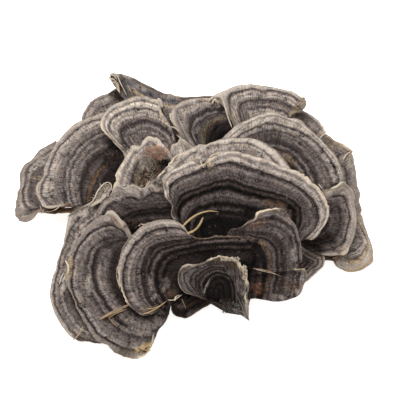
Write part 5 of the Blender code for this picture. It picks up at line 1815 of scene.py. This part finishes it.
@dataclass(frozen=True)
class Foot:
    """The common base: a lumpy mound, cut flat.

    Attributes:
        across: How many fine faces each of the footprint's sides has.
        up: How many there are between two rings.
        rough: How deep its roughness is, in metres.
        heart: Height of the spot that its roughness faces, in millimetres.
        seed: For its unevenness.
    """

    across: int = 7
    up: int = 6
    rough: float = 0.55 * MM
    heart: float = 10.0
    seed: int = 7

    def coarse(self) -> np.ndarray:
        """The solid's corners, one row for each ring."""
        found = np.zeros((len(BASE_RINGS), len(FOOTPRINT), 3))
        middle = np.array(BASE_MIDDLE) * MM
        for level, (share, height) in enumerate(BASE_RINGS):
            for k, place in enumerate(np.array(FOOTPRINT) * MM):
                lump = BASE_LUMP * MM * math.sin(2.1 * k + 1.7 * level) if level else 0.0
                outward = (place - middle) / np.linalg.norm(place - middle)
                x, y = middle + (place - middle) * share + outward * lump
                found[level, k] = x, y, height * MM + (0.6 * lump if level > 1 else 0.0)
        return found

    def fine(self, noise: Noise) -> np.ndarray:
        """The rough surface on a fine grid, one row for each level.

        Args:
            noise: For its roughness.

        Returns:
            The points, by level and by place around the foot.
        """
        coarse, sides = self.coarse(), len(FOOTPRINT)
        levels = np.concatenate([k + np.arange(self.up) / self.up for k in range(len(BASE_RINGS) - 1)])
        levels = np.append(levels, len(BASE_RINGS) - 1)
        turns = np.arange(sides * self.across) / self.across
        low = np.floor(levels).astype(int).clip(0, len(BASE_RINGS) - 2)
        up = (levels - low)[:, None, None]
        left = np.floor(turns).astype(int) % sides
        across = (turns - np.floor(turns))[None, :, None]
        across = across * across * (3 - 2 * across)
        right = (left + 1) % sides
        below = coarse[low][:, left] * (1 - across) + coarse[low][:, right] * across
        above = coarse[low + 1][:, left] * (1 - across) + coarse[low + 1][:, right] * across
        points = below * (1 - up) + above * up
        inward = (np.array((*BASE_MIDDLE, self.heart)) * MM - points) * np.array((1, 1, 0.4))
        inward /= np.linalg.norm(inward, axis=2, keepdims=True)
        rough = noise.layered(*np.moveaxis(points / MM / (3, 3, 4), -1, 0), layers=4)
        depth = np.clip(rough * 0.5 + 0.5, 0, 1) * self.rough * np.minimum(levels, 1.0)[:, None]
        return points + inward * depth[..., None]

    def build(self) -> None:
        """Builds the base in the place of its solid."""
        noise = Noise(self.seed)
        points = self.fine(noise)
        rings, around = points.shape[:2]
        number = np.arange(rings * around).reshape(rings, around)
        number = np.hstack((number, number[:, :1]))
        crown, sole = rings * around, rings * around + 1
        ends = np.array([(*BASE_MIDDLE, BASE_RINGS[-1][1]), (*BASE_MIDDLE, 0.0)]) * MM
        points = np.vstack((points.reshape(-1, 3), ends))
        faces = quads(number).tolist()
        faces += [(a, b, crown) for a, b in zip(number[-1], number[-1, 1:])]
        faces += [(b, a, sole) for a, b in zip(number[0], number[0, 1:])]
        mesh = mesh_of("foot", points, faces)
        cut = np.zeros(len(points))
        cut[[*number[0], sole]] = 1.0
        store(mesh, "cut", cut)
        store(mesh, "tint", stain_and_light_colours(FOOT_STAINS, to_sight(points)[:, :2], noise), "FLOAT_COLOR")
        for face in mesh.polygons:
            face.use_smooth = face.normal.z > -0.9
        place_piece("foot", mesh, BaseFinish().material(), ["attachment_base"])


@dataclass(frozen=True)
class Blade:
    """A dry blade or stalk of grass.

    Attributes:
        name: The solid that it stands for, without its first word.
        width: Its width, in millimetres.
        course: (across, down) along it, as text.
        twist: How far it turns about itself, in degrees.
    """

    name: str
    width: float
    course: str
    twist: float = 40.0


BLADES = (
    Blade("curl_upper", 1.1, "183,226 188,221 196,215 208,211 219,212"),
    Blade("curl_lower", 0.9, "203,217 201,222 198,227 193,231 187,233"),
    Blade("stalk_left", 1.2, "101,318 111,312 121,307 131,303"),
    Blade("stalk_corner", 0.8, "74,339 80,333 84,325"),
    Blade("fibre_front", 0.6, "252,268 262,269 272,272 281,276"),
)


@dataclass
class Strands:
    """Bunches of thin strands as one mesh.

    Attributes:
        points, faces: What the mesh is made of.
        values: What its finish needs at each point.
        count: How many points there are.
        aside: A way that no strand runs along.
    """

    points: list[np.ndarray] = field(default_factory=list)
    faces: list[list[int]] = field(default_factory=list)
    values: dict[str, list[np.ndarray]] = field(
        default_factory=lambda: {"lot": [], "across": [], "along": []})
    count: int = 0
    aside: tuple[float, float, float] = (0.13, 0.21, 0.97)

    def add(self, course: np.ndarray, wide: float, thick: float, twist: float, lot: float,
            sides: int = 6) -> None:
        """Adds a strand that tapers at both ends.

        Args:
            course: Points along it, in world coordinates.
            wide: Its width in metres.
            thick: Its thickness in metres.
            twist: How far it turns about itself, in radians.
            lot: Chooses its colour, from 0 to 1.
            sides: How many sides it has.
        """
        heading = np.gradient(course, axis=0)
        heading /= np.maximum(np.linalg.norm(heading, axis=1), 1e-12)[:, None]
        side = np.cross(heading, self.aside)
        side /= np.maximum(np.linalg.norm(side, axis=1), 1e-12)[:, None]
        up = np.cross(side, heading)
        share = np.linspace(0, 1, len(course))
        taper = np.sqrt(np.clip(1.06 - np.abs(2 * share - 1) ** 5, 0.06, 1))
        turn = twist * share
        first = side * np.cos(turn)[:, None] + up * np.sin(turn)[:, None]
        second = up * np.cos(turn)[:, None] - side * np.sin(turn)[:, None]
        ring = np.linspace(0, 2 * math.pi, sides, endpoint=False)
        spread = first[:, None] * (np.cos(ring) * wide / 2)[None, :, None]
        rise = second[:, None] * (np.sin(ring) * thick / 2)[None, :, None]
        points = course[:, None] + (spread + rise) * taper[:, None, None]
        size = len(course) * sides
        number = self.count + np.arange(size).reshape(len(course), sides)
        self.points.append(points.reshape(-1, 3))
        self.faces += quads(np.hstack((number, number[:, :1]))).tolist()
        self.faces += [number[0][::-1].tolist(), number[-1].tolist()]
        run = np.concatenate(((0,), np.cumsum(np.linalg.norm(np.diff(course, axis=0), axis=1)))) / MM
        self.values["lot"].append(np.full(size, lot))
        self.values["across"].append(np.tile(np.cos(ring), len(course)))
        self.values["along"].append(np.repeat(run, sides))
        self.count += size

    def mesh(self, name: str) -> bpy.types.Mesh:
        """Makes the mesh.

        Args:
            name: Its name.

        Returns:
            The mesh, with its values at each point.
        """
        mesh = mesh_of(name, np.vstack(self.points), self.faces)
        for key, values in self.values.items():
            store(mesh, key, np.concatenate(values))
        return mesh


@dataclass(frozen=True)
class Grass:
    """The dry grass that lies on the brackets.

    Attributes:
        nodes: The solids by name.
    """

    nodes: dict[str, bpy.types.Object]

    def course(self, blade: Blade) -> np.ndarray:
        """A blade's middle line, on its solid, in world coordinates.

        Args:
            blade: The blade.

        Returns:
            The line's points, one row each.
        """
        solid = self.nodes[f"grass_{blade.name}"]
        corners = to_sight(np.array([vertex.co for vertex in solid.data.vertices], float))
        places = np.array([(*flat_place(place), 0.0) for place in spots(blade.course)])
        line = along(smooth_curve(places), np.linspace(0, 1, 40))
        for point in line:
            gap = np.linalg.norm(corners[:, :2] - point[:2], axis=1)
            close = corners[gap < gap.min() + 0.9 * MM, 2]
            point[2] = (close.min() + close.max()) / 2
        for _ in range(4):
            line[1:-1, 2] = (line[:-2, 2] + 2 * line[1:-1, 2] + line[2:, 2]) / 4
        return from_sight(line)

    def build(self) -> None:
        """Builds each blade in the place of its solid."""
        fresh = StrandFinish("dry_grass", Hue.STRAW, Hue.SAND, Hue.CREAM).material()
        old = StrandFinish("old_grass", Hue.UNDER, Hue.SAND, Hue.RUST).material()
        for index, blade in enumerate(BLADES):
            finish = fresh if "curl" in blade.name else old
            bunch = Strands()
            line = self.course(blade)
            width = blade.width * MM
            bunch.add(line, width, 0.35 * width, math.radians(blade.twist), 0.15 * index, 10)
            aside = line + np.array((0.25, 0.1, 0.2)) * width
            bunch.add(aside[: len(line) // 2 + 8], 0.3 * width, 0.25 * width, 1.0, 0.5)
            name = f"blade_{blade.name}"
            place_piece(name, bunch.mesh(name), finish, [f"grass_{blade.name}"])


@dataclass(frozen=True)
class Litter:
    """The reddish tuft of plant fibre.

    Attributes:
        fibres: How many fibres it has.
        seed: For their places.
    """

    fibres: int = 620
    seed: int = 31

    def build(self) -> None:
        """Builds the tuft in the place of its solid."""
        low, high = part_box("litter_tuft")
        middle, half = (np.array(low) + np.array(high)) / 2, (np.array(high) - np.array(low)) / 2
        chance = np.random.default_rng(self.seed)
        bunch = Strands()
        for _ in range(self.fibres):
            start = middle + half * chance.normal(0, 0.42, 3)
            way = chance.normal(0, 1, 3) * np.array((1.0, 0.8, 0.5))
            way /= np.linalg.norm(way)
            bend = chance.normal(0, 0.5, 3)
            length = chance.uniform(0.9, 2.8) * MM
            share = np.linspace(-0.5, 0.5, 9)[:, None]
            course = start + share * length * way + (share**2) * length * bend
            course = np.clip(course, middle - 1.15 * half, middle + 1.15 * half)
            course += chance.normal(0, 0.02 * MM, course.shape)
            size = chance.uniform(0.10, 0.20) * MM
            bunch.add(course, size, 0.6 * size, chance.uniform(0, 3), chance.uniform(0, 1), 5)
        finish = StrandFinish("litter_fibre", Hue.SALMON, Hue.RUST, Hue.CREAM).material()
        place_piece("tuft", bunch.mesh("tuft"), finish, ["litter_tuft"])


@dataclass(frozen=True)
class Scrap:
    """A torn scrap of flesh, a straw or a fibre that lies on the brackets.

    Attributes:
        course: (across, down, rise) along it, as text, with the rise above the pile in millimetres.
        width: Its width, in millimetres.
        lot: Chooses its colour, from 0 to 1.
        flat: Its thickness, as a share of its width.
        twist: How far it turns about itself, in degrees.
    """

    course: str
    width: float
    lot: float = 0.5
    flat: float = 0.4
    twist: float = 40.0


@dataclass(frozen=True)
class Tangle:
    """A patch of short loose fibres.

    Attributes:
        place: (across, down) of its middle.
        size: Half its width and height, in view units.
        count: How many fibres it has.
        length: The longest fibre, in millimetres.
        width: The widest fibre, in millimetres.
        rise: How far above the pile the fibres reach, in millimetres.
        heading: Which way they run across the view, in degrees anticlockwise from the right.
        spread: How far they stray from it, in degrees.
    """

    place: Place
    size: tuple[float, float]
    count: int
    length: float
    width: float = 0.2
    rise: float = 0.6
    heading: float = 90.0
    spread: float = 90.0


TORN = (
    Scrap("110,74,0.6 114,76,0.8 117,80,0.3", 0.9, 0.2),
    Scrap("110,79,0.4 113,79,0.9 117,82,0.3", 0.8, 0.6),
    Scrap("112,83,0.6 115,82,0.8 118,86,0.3", 0.7, 0.3),
    Scrap("67,216.5,0.2 75,211.5,0.4 84,206.5,0.5 92,202,0.5 97,196,0.4", 0.6, 0.3, 0.5, 0),
    Scrap("85,206,0.3 91,203,0.5 95,198,1 98,191,1.3 102,186,1.3 107,182.5,1 111,184,0.6 112,190,0.3",
          0.6, 0.3, 0.5, 0),
    Scrap("209,101,0.4 213,97,0.9 219,97,0.8 223,101,0.3", 1, 0.4),
    Scrap("212,104,0.3 214,100,0.8 217,101,0.6", 0.8, 0.7),
    Scrap("222,97,0.4 225,106,0.5 228,117,0.4 232,128,0.2", 0.9, 0.3),
    Scrap("158,98,0.1 161,102,0.2 162,108,0.1", 1.5, 0.2, 0.3, 0),
    Scrap("117,75,0.1 120,82,0.2 124,90,0.2 127,96,0.1", 0.5, 0.8),
    Scrap("318,184,0.1 322,189,0.2 327,197,0.1", 0.6, 0.2, 0.4, 0),
    Scrap("200,161,0.1 202,165,0.3 204,168,0.1", 0.7, 0.3, 0.4, 0),
    Scrap("209,158,0.1 213,155,0.3 218,154,0.1", 0.6, 0.3, 0.4, 0),
    Scrap("246,291,0.2 244.5,296,0.5 246.5,302,0.2", 0.5, 0.4),
    Scrap("170,113,0.3 171,119,0.5 174,124,0.6 177,127,0.3", 0.8, 0.4),
    Scrap("171,127,0.3 175,128,0.7 179,132,0.4", 1, 0.2),
    Scrap("176,134,0.3 180,138,0.5 182,142,0.2", 0.7, 0.6),
    Scrap("320,138,0.4 323,135,0.7 328,133,0.4", 0.7, 0.3),
    Scrap("343,160,0.4 346,155,0.7 351,151,0.4", 0.7, 0.4),
    Scrap("346,184,0.3 342,182,0.6 337,186,0.4 330,189,0.2", 1, 0.5),
    Scrap("348,247,0.2 346,252,0.5 341,255,0.3", 0.8, 0.4),
    Scrap("60,284,0.3 62,277,0.6 66,270,0.5", 0.6, 0.2),
    Scrap("66,260,0.2 69,266,0.5 69,274,0.2", 1.1, 0.8),
    Scrap("139,226,0.2 142,224,0.5 145,225,0.2", 0.9, 0.2),
    Scrap("118,266,0.1 117.5,276,0.3 121,289,0.1", 0.5, 0.3),
    Scrap("175,300,0.3 176,296,0.8 180,294,0.3", 0.7, 0.3),
    Scrap("156,180,0.3 160,175,0.9 166,171,0.4", 1, 0.4),
    Scrap("152,183,0.3 157,180,0.6 161,176,0.4", 0.8, 0.2),
    Scrap("38,212,0.3 42,213,0.6 44,209,0.3", 0.9, 0.2),
    Scrap("40,205,0.3 42,210,0.6 46,213,0.2", 0.6, 0.3),
    Scrap("160,102,0.2 162,108,0.4 167,116,0.1", 0.4, 0.5),
)
STRAWS = (
    Scrap("100,319,0.3 110,314,0.6 121,309,0.9 131,303,0.9", 0.8, 0.7),
    Scrap("109,317,0.3 118,312,0.7 128,308,0.5", 0.6, 0.3),
    Scrap("108,315,0.4 113,321,0.5 118,326,0.3", 0.4, 0.6),
    Scrap("143,313,0.3 150,311,0.6 159,306,0.6 167,300,0.3", 0.8, 0.5),
    Scrap("147,308,0.3 155,307,0.6 163,303,0.3", 0.5, 0.3),
    Scrap("168,299,0.4 174,299,0.8 182,294,0.4", 0.4, 0.9, 0.7),
    Scrap("45,212,0.3 52,211,0.8 58,208,0.7 61,204,0.3", 0.4, 0.9, 0.7),
    Scrap("182,298,0.2 184,303,0.4 186,308,0.2", 0.5, 0.9),
    Scrap("253,268,0.3 265,271,0.5 277,274,0.3", 0.35, 0.9),
    Scrap("142,349,0.3 147,345,0.7 154,342,0.4", 0.7, 0.4),
    Scrap("139,345,0.3 146,349,0.6 152,349,0.3", 0.6, 0.2),
    Scrap("145,342,0.3 148,347,0.6 147,352,0.3", 0.5, 0.6),
)
ROLLED = (
    Scrap("36,208,-1.6 50,210.5,-1.7 66,210.5,-1.9 84,208,-2.4", 4.4, 0.75, 0.25, 0),
    Scrap("315,254,-1.6 321,256.5,-1.8 330,258,-2 338,256,-2.2", 4, 0.05, 0.3, 0),
)
LOBES = (
    Scrap("90,205,0.1 98,199,0.3 104,192,0.4 108,184.5,0.3", 5.2, 0.4, 0.1, 0),
)
RIBS = (
    Scrap("236,262,0.1 238,275,0.1 238,292,0.1", 0.5, 0.1, 0.4, 0),
    Scrap("240,266,0.1 242,278,0.1 241,294,0.1", 0.45, 0.5, 0.4, 0),
    Scrap("244,272,0.1 244,284,0.1 243,298,0.1", 0.5, 0.1, 0.4, 0),
    Scrap("232,262,0.1 234,272,0.1 234,284,0.1", 0.4, 0.3, 0.4, 0),
    Scrap("227,261,0.1 230,268,0.1 231,278,0.1", 0.4, 0.6, 0.4, 0),
    Scrap("222,261,0.1 225,267,0.1 228,274,0.1", 0.4, 0.2, 0.4, 0),
    Scrap("236,293,0.2 241,304,0.2 247,319,0.1", 0.7, 0.2, 0.4, 0),
    Scrap("240,295,0.1 244,306,0.1 248,320,0.1", 0.6, 0.6, 0.4, 0),
    Scrap("245,299,0.1 246,309,0.1 249,321,0.1", 0.6, 0.9, 0.4, 0),
    Scrap("210,278,0.1 206,285,0.1 204,293,0.1", 0.5, 0.9, 0.4, 0),
)
WOOL = (
    Tangle((105, 190), (4.5, 6), 200, 1.4, 0.3, 1.3, 60, 90),
    Tangle((98, 199), (5, 4), 110, 1.4, 0.28, 1.2, 40, 70),
    Tangle((158, 181), (6, 3), 50, 1.6, 0.24, 0.8, 30, 60),
    Tangle((147, 163), (7, 8), 130, 2.6, 0.32, 1.0, 60, 70),
    Tangle((153, 171), (6, 5), 30, 2.4, 0.22, 0.9, 50, 70),
    Tangle((134, 176), (6, 5), 20, 1.4, 0.16, 0.4, 60, 90),
    Tangle((157, 178), (7, 3), 34, 2.0, 0.26, 0.8, 60, 60),
    Tangle((142, 176), (6, 7), 36, 2.0, 0.24, 0.8, 60, 60),
    Tangle((155, 157), (7, 4), 40, 1.8, 0.2, 1.4, 40, 90),
)
SHAG = (
    Tangle((149, 174), (12, 6), 90, 2.2, 0.26, 1.0, 30, 90),
    Tangle((160, 166), (7, 6), 34, 2.2, 0.2, 0.6, 60, 90),
    Tangle((103, 193), (5, 8), 40, 1.4, 0.24, 1.4, 50, 90),
    Tangle((131, 223), (7, 5), 110, 1.8, 0.26, 1.4, 40, 60),
    Tangle((224, 262), (11, 2.4), 40, 1.5, 0.3, 0.6, 15, 60),
)
MOSS = (
    Tangle((231, 307), (9, 6), 140, 1.4, 0.28, 1.0, 90, 90),
)
FRINGES = (
    Tangle((230, 258.5), (9, 1.8), 50, 1.1, 0.6, 0.9, 10, 50),
    Tangle((244, 271), (2, 8), 50, 1.1, 0.6, 0.9, 110, 40),
    Tangle((304, 103), (3, 7), 70, 2.2, 0.14, 0.3, 25, 35),
    Tangle((113, 79), (3, 5), 14, 1.8, 0.16, 0.6, 170, 50),
)


@dataclass(frozen=True)
class Scraps:
    """The torn scraps, straws and loose fibres on the brackets.

    Attributes:
        pile: The pile that they lie on.
    """

    pile: Pile

    def build(self) -> None:
        """Builds them, one piece for each kind."""
        flesh = StrandFinish("torn_flesh", Hue.WARM_RIM, Hue.CREAM, Hue.SAND)
        straw = StrandFinish("straw", Hue.STRAW, Hue.UNDER, Hue.CREAM)
        rolled = StrandFinish("rolled_edge", Hue.BROWN, Hue.UNDER, Hue.UNDER)
        lobe = StrandFinish("woolly_lobe", Hue.WARM_RIM, Hue.SAND, Hue.CREAM)
        rib = StrandFinish("crest_rib", Hue.GREY, Hue.BROWN, Hue.PALE)
        wool = StrandFinish("wool", Hue.WARM_RIM, Hue.OCHRE, Hue.CREAM)
        shag = StrandFinish("shag", Hue.DARK, Hue.BROWN, Hue.RUST)
        moss = StrandFinish("moss", Hue.MOSS, Hue.OLIVE, Hue.PALE)
        self.lay("torn_bits", TORN, flesh)
        self.lay("straw_bits", STRAWS, straw)
        self.lay("rolled_edge", ROLLED, rolled)
        self.lay("woolly_lobe", LOBES, lobe)
        self.lay("crest_ribs", RIBS, rib)
        self.strew("wool", WOOL, wool, 47)
        self.strew("shag", SHAG, shag, 41)
        self.strew("moss", MOSS, moss, 51)
        self.strew("fringe", FRINGES, flesh, 43)

    def lay(self, name: str, scraps: Sequence[Scrap], finish: StrandFinish) -> None:
        """Builds scraps as one piece.

        Args:
            name: The piece's name.
            scraps: The scraps.
            finish: Their finish.
        """
        bunch = Strands()
        for scrap in scraps:
            line = self.pile.course(spots(scrap.course))
            width = scrap.width * MM
            bunch.add(line, width, scrap.flat * width, math.radians(scrap.twist), scrap.lot, 10)
        place_piece(name, bunch.mesh(name), finish.material())

    def strew(self, name: str, tangles: Sequence[Tangle], finish: StrandFinish,
              seed: int) -> None:
        """Builds patches of loose fibres as one piece.

        Args:
            name: The piece's name.
            tangles: The patches.
            finish: Their finish.
            seed: For the fibres' places and bends.
        """
        chance = np.random.default_rng(seed)
        bunch = Strands()
        for tangle in tangles:
            for _ in range(tangle.count):
                middle = np.array(tangle.place) + chance.uniform(-1, 1, 2) * tangle.size
                way = math.radians(tangle.heading + chance.uniform(-1, 1) * tangle.spread)
                half = chance.uniform(0.35, 1) * tangle.length * MM / UNIT / 2
                step = half * np.array((math.cos(way), -math.sin(way)))
                sag = chance.normal(0, 0.25, 2) * half
                rise = chance.uniform(0.2, 1) * tangle.rise
                fibre = [(*(middle - step), 0.1), (*(middle + sag), rise), (*(middle + step), 0.5 * rise)]
                width = chance.uniform(0.5, 1) * tangle.width * MM
                bunch.add(self.pile.course(fibre, 4), width, 0.6 * width, 1.0, chance.uniform(0, 1), 5)
        place_piece(name, bunch.mesh(name), finish.material())


@dataclass(frozen=True)
class Studio:
    """The floor, the lights and the camera.

    Attributes:
        floor_half: Half the floor's width, in metres.
        floor_drop: How far it lies under the cut, in metres.
        sky: How bright the light from all around is.
        sensor, lens: In millimetres; the lens is long, so the picture has hardly any perspective.
    """

    floor_half: float = 1.2
    floor_drop: float = 0.02 * MM
    sky: float = 0.34
    sensor: float = 36.0
    lens: float = 1000.0

    def build(self) -> None:
        """Builds the studio."""
        half = self.floor_half
        corners = np.array([(-half, -half, 0), (half, -half, 0), (half, half, 0), (-half, half, 0)])
        mesh = mesh_of("floor", corners, [(0, 1, 2, 3)])
        mesh.materials.append(FloorFinish().material())
        floor = place_object("floor", mesh)
        floor.location.z = -self.floor_drop
        world = bpy.data.worlds.new("studio")
        bpy.context.scene.world = world
        world.use_nodes = True
        background = world.node_tree.nodes["Background"]
        background.inputs["Color"].default_value = (1.0, 1.0, 1.0, 1.0)
        background.inputs["Strength"].default_value = self.sky
        self.light("key", (-0.22, 0.12, 0.8), 0.9, 12.0)
        self.light("fill", (0.45, -0.55, 0.5), 0.9, 1.6)
        self.camera()
        bpy.context.scene.view_settings.view_transform = "Standard"

    def light(self, name: str, place: tuple[float, float, float], size: float, power: float) -> None:
        """Adds a soft light that faces the clump.

        Args:
            name: Its name.
            place: Where it is, in metres.
            size: How wide it is, in metres.
            power: In watts.
        """
        data = bpy.data.lights.new(name, "AREA")
        data.shape, data.size, data.energy = "DISK", size, power
        lamp = place_object(name, data)
        lamp.location = place
        lamp.visible_camera = False
        lamp.rotation_euler = (-lamp.location).to_track_quat("-Z", "Y").to_euler()

    def camera(self) -> None:
        """Adds the camera, along the line of sight."""
        data = bpy.data.cameras.new("camera")
        data.sensor_width, data.lens = self.sensor, self.lens
        away = PICTURE_SIZE * UNIT * self.lens / self.sensor
        camera = place_object("camera", data)
        middle = (VIEW_MIDDLE[1] - PICTURE_SIZE / 2) * UNIT
        across = (PICTURE_SIZE / 2 - VIEW_MIDDLE[0]) * UNIT
        camera.location = from_sight(np.array((across, middle, away)))
        camera.rotation_euler = (math.pi / 2 - SIGHT_ELEVATION, 0.0, 0.0)
        bpy.context.scene.camera = camera


def main() -> None:
    """Builds the scene."""
    logging.basicConfig(level=logging.INFO, format="%(message)s")
    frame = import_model()
    nodes = frame["nodes"]
    Studio().build()
    Foot().build()
    pile = Rosette(nodes).build()
    Litter().build()
    Grass(nodes).build()
    Scraps(pile).build()


if __name__ == "__main__":
    main()
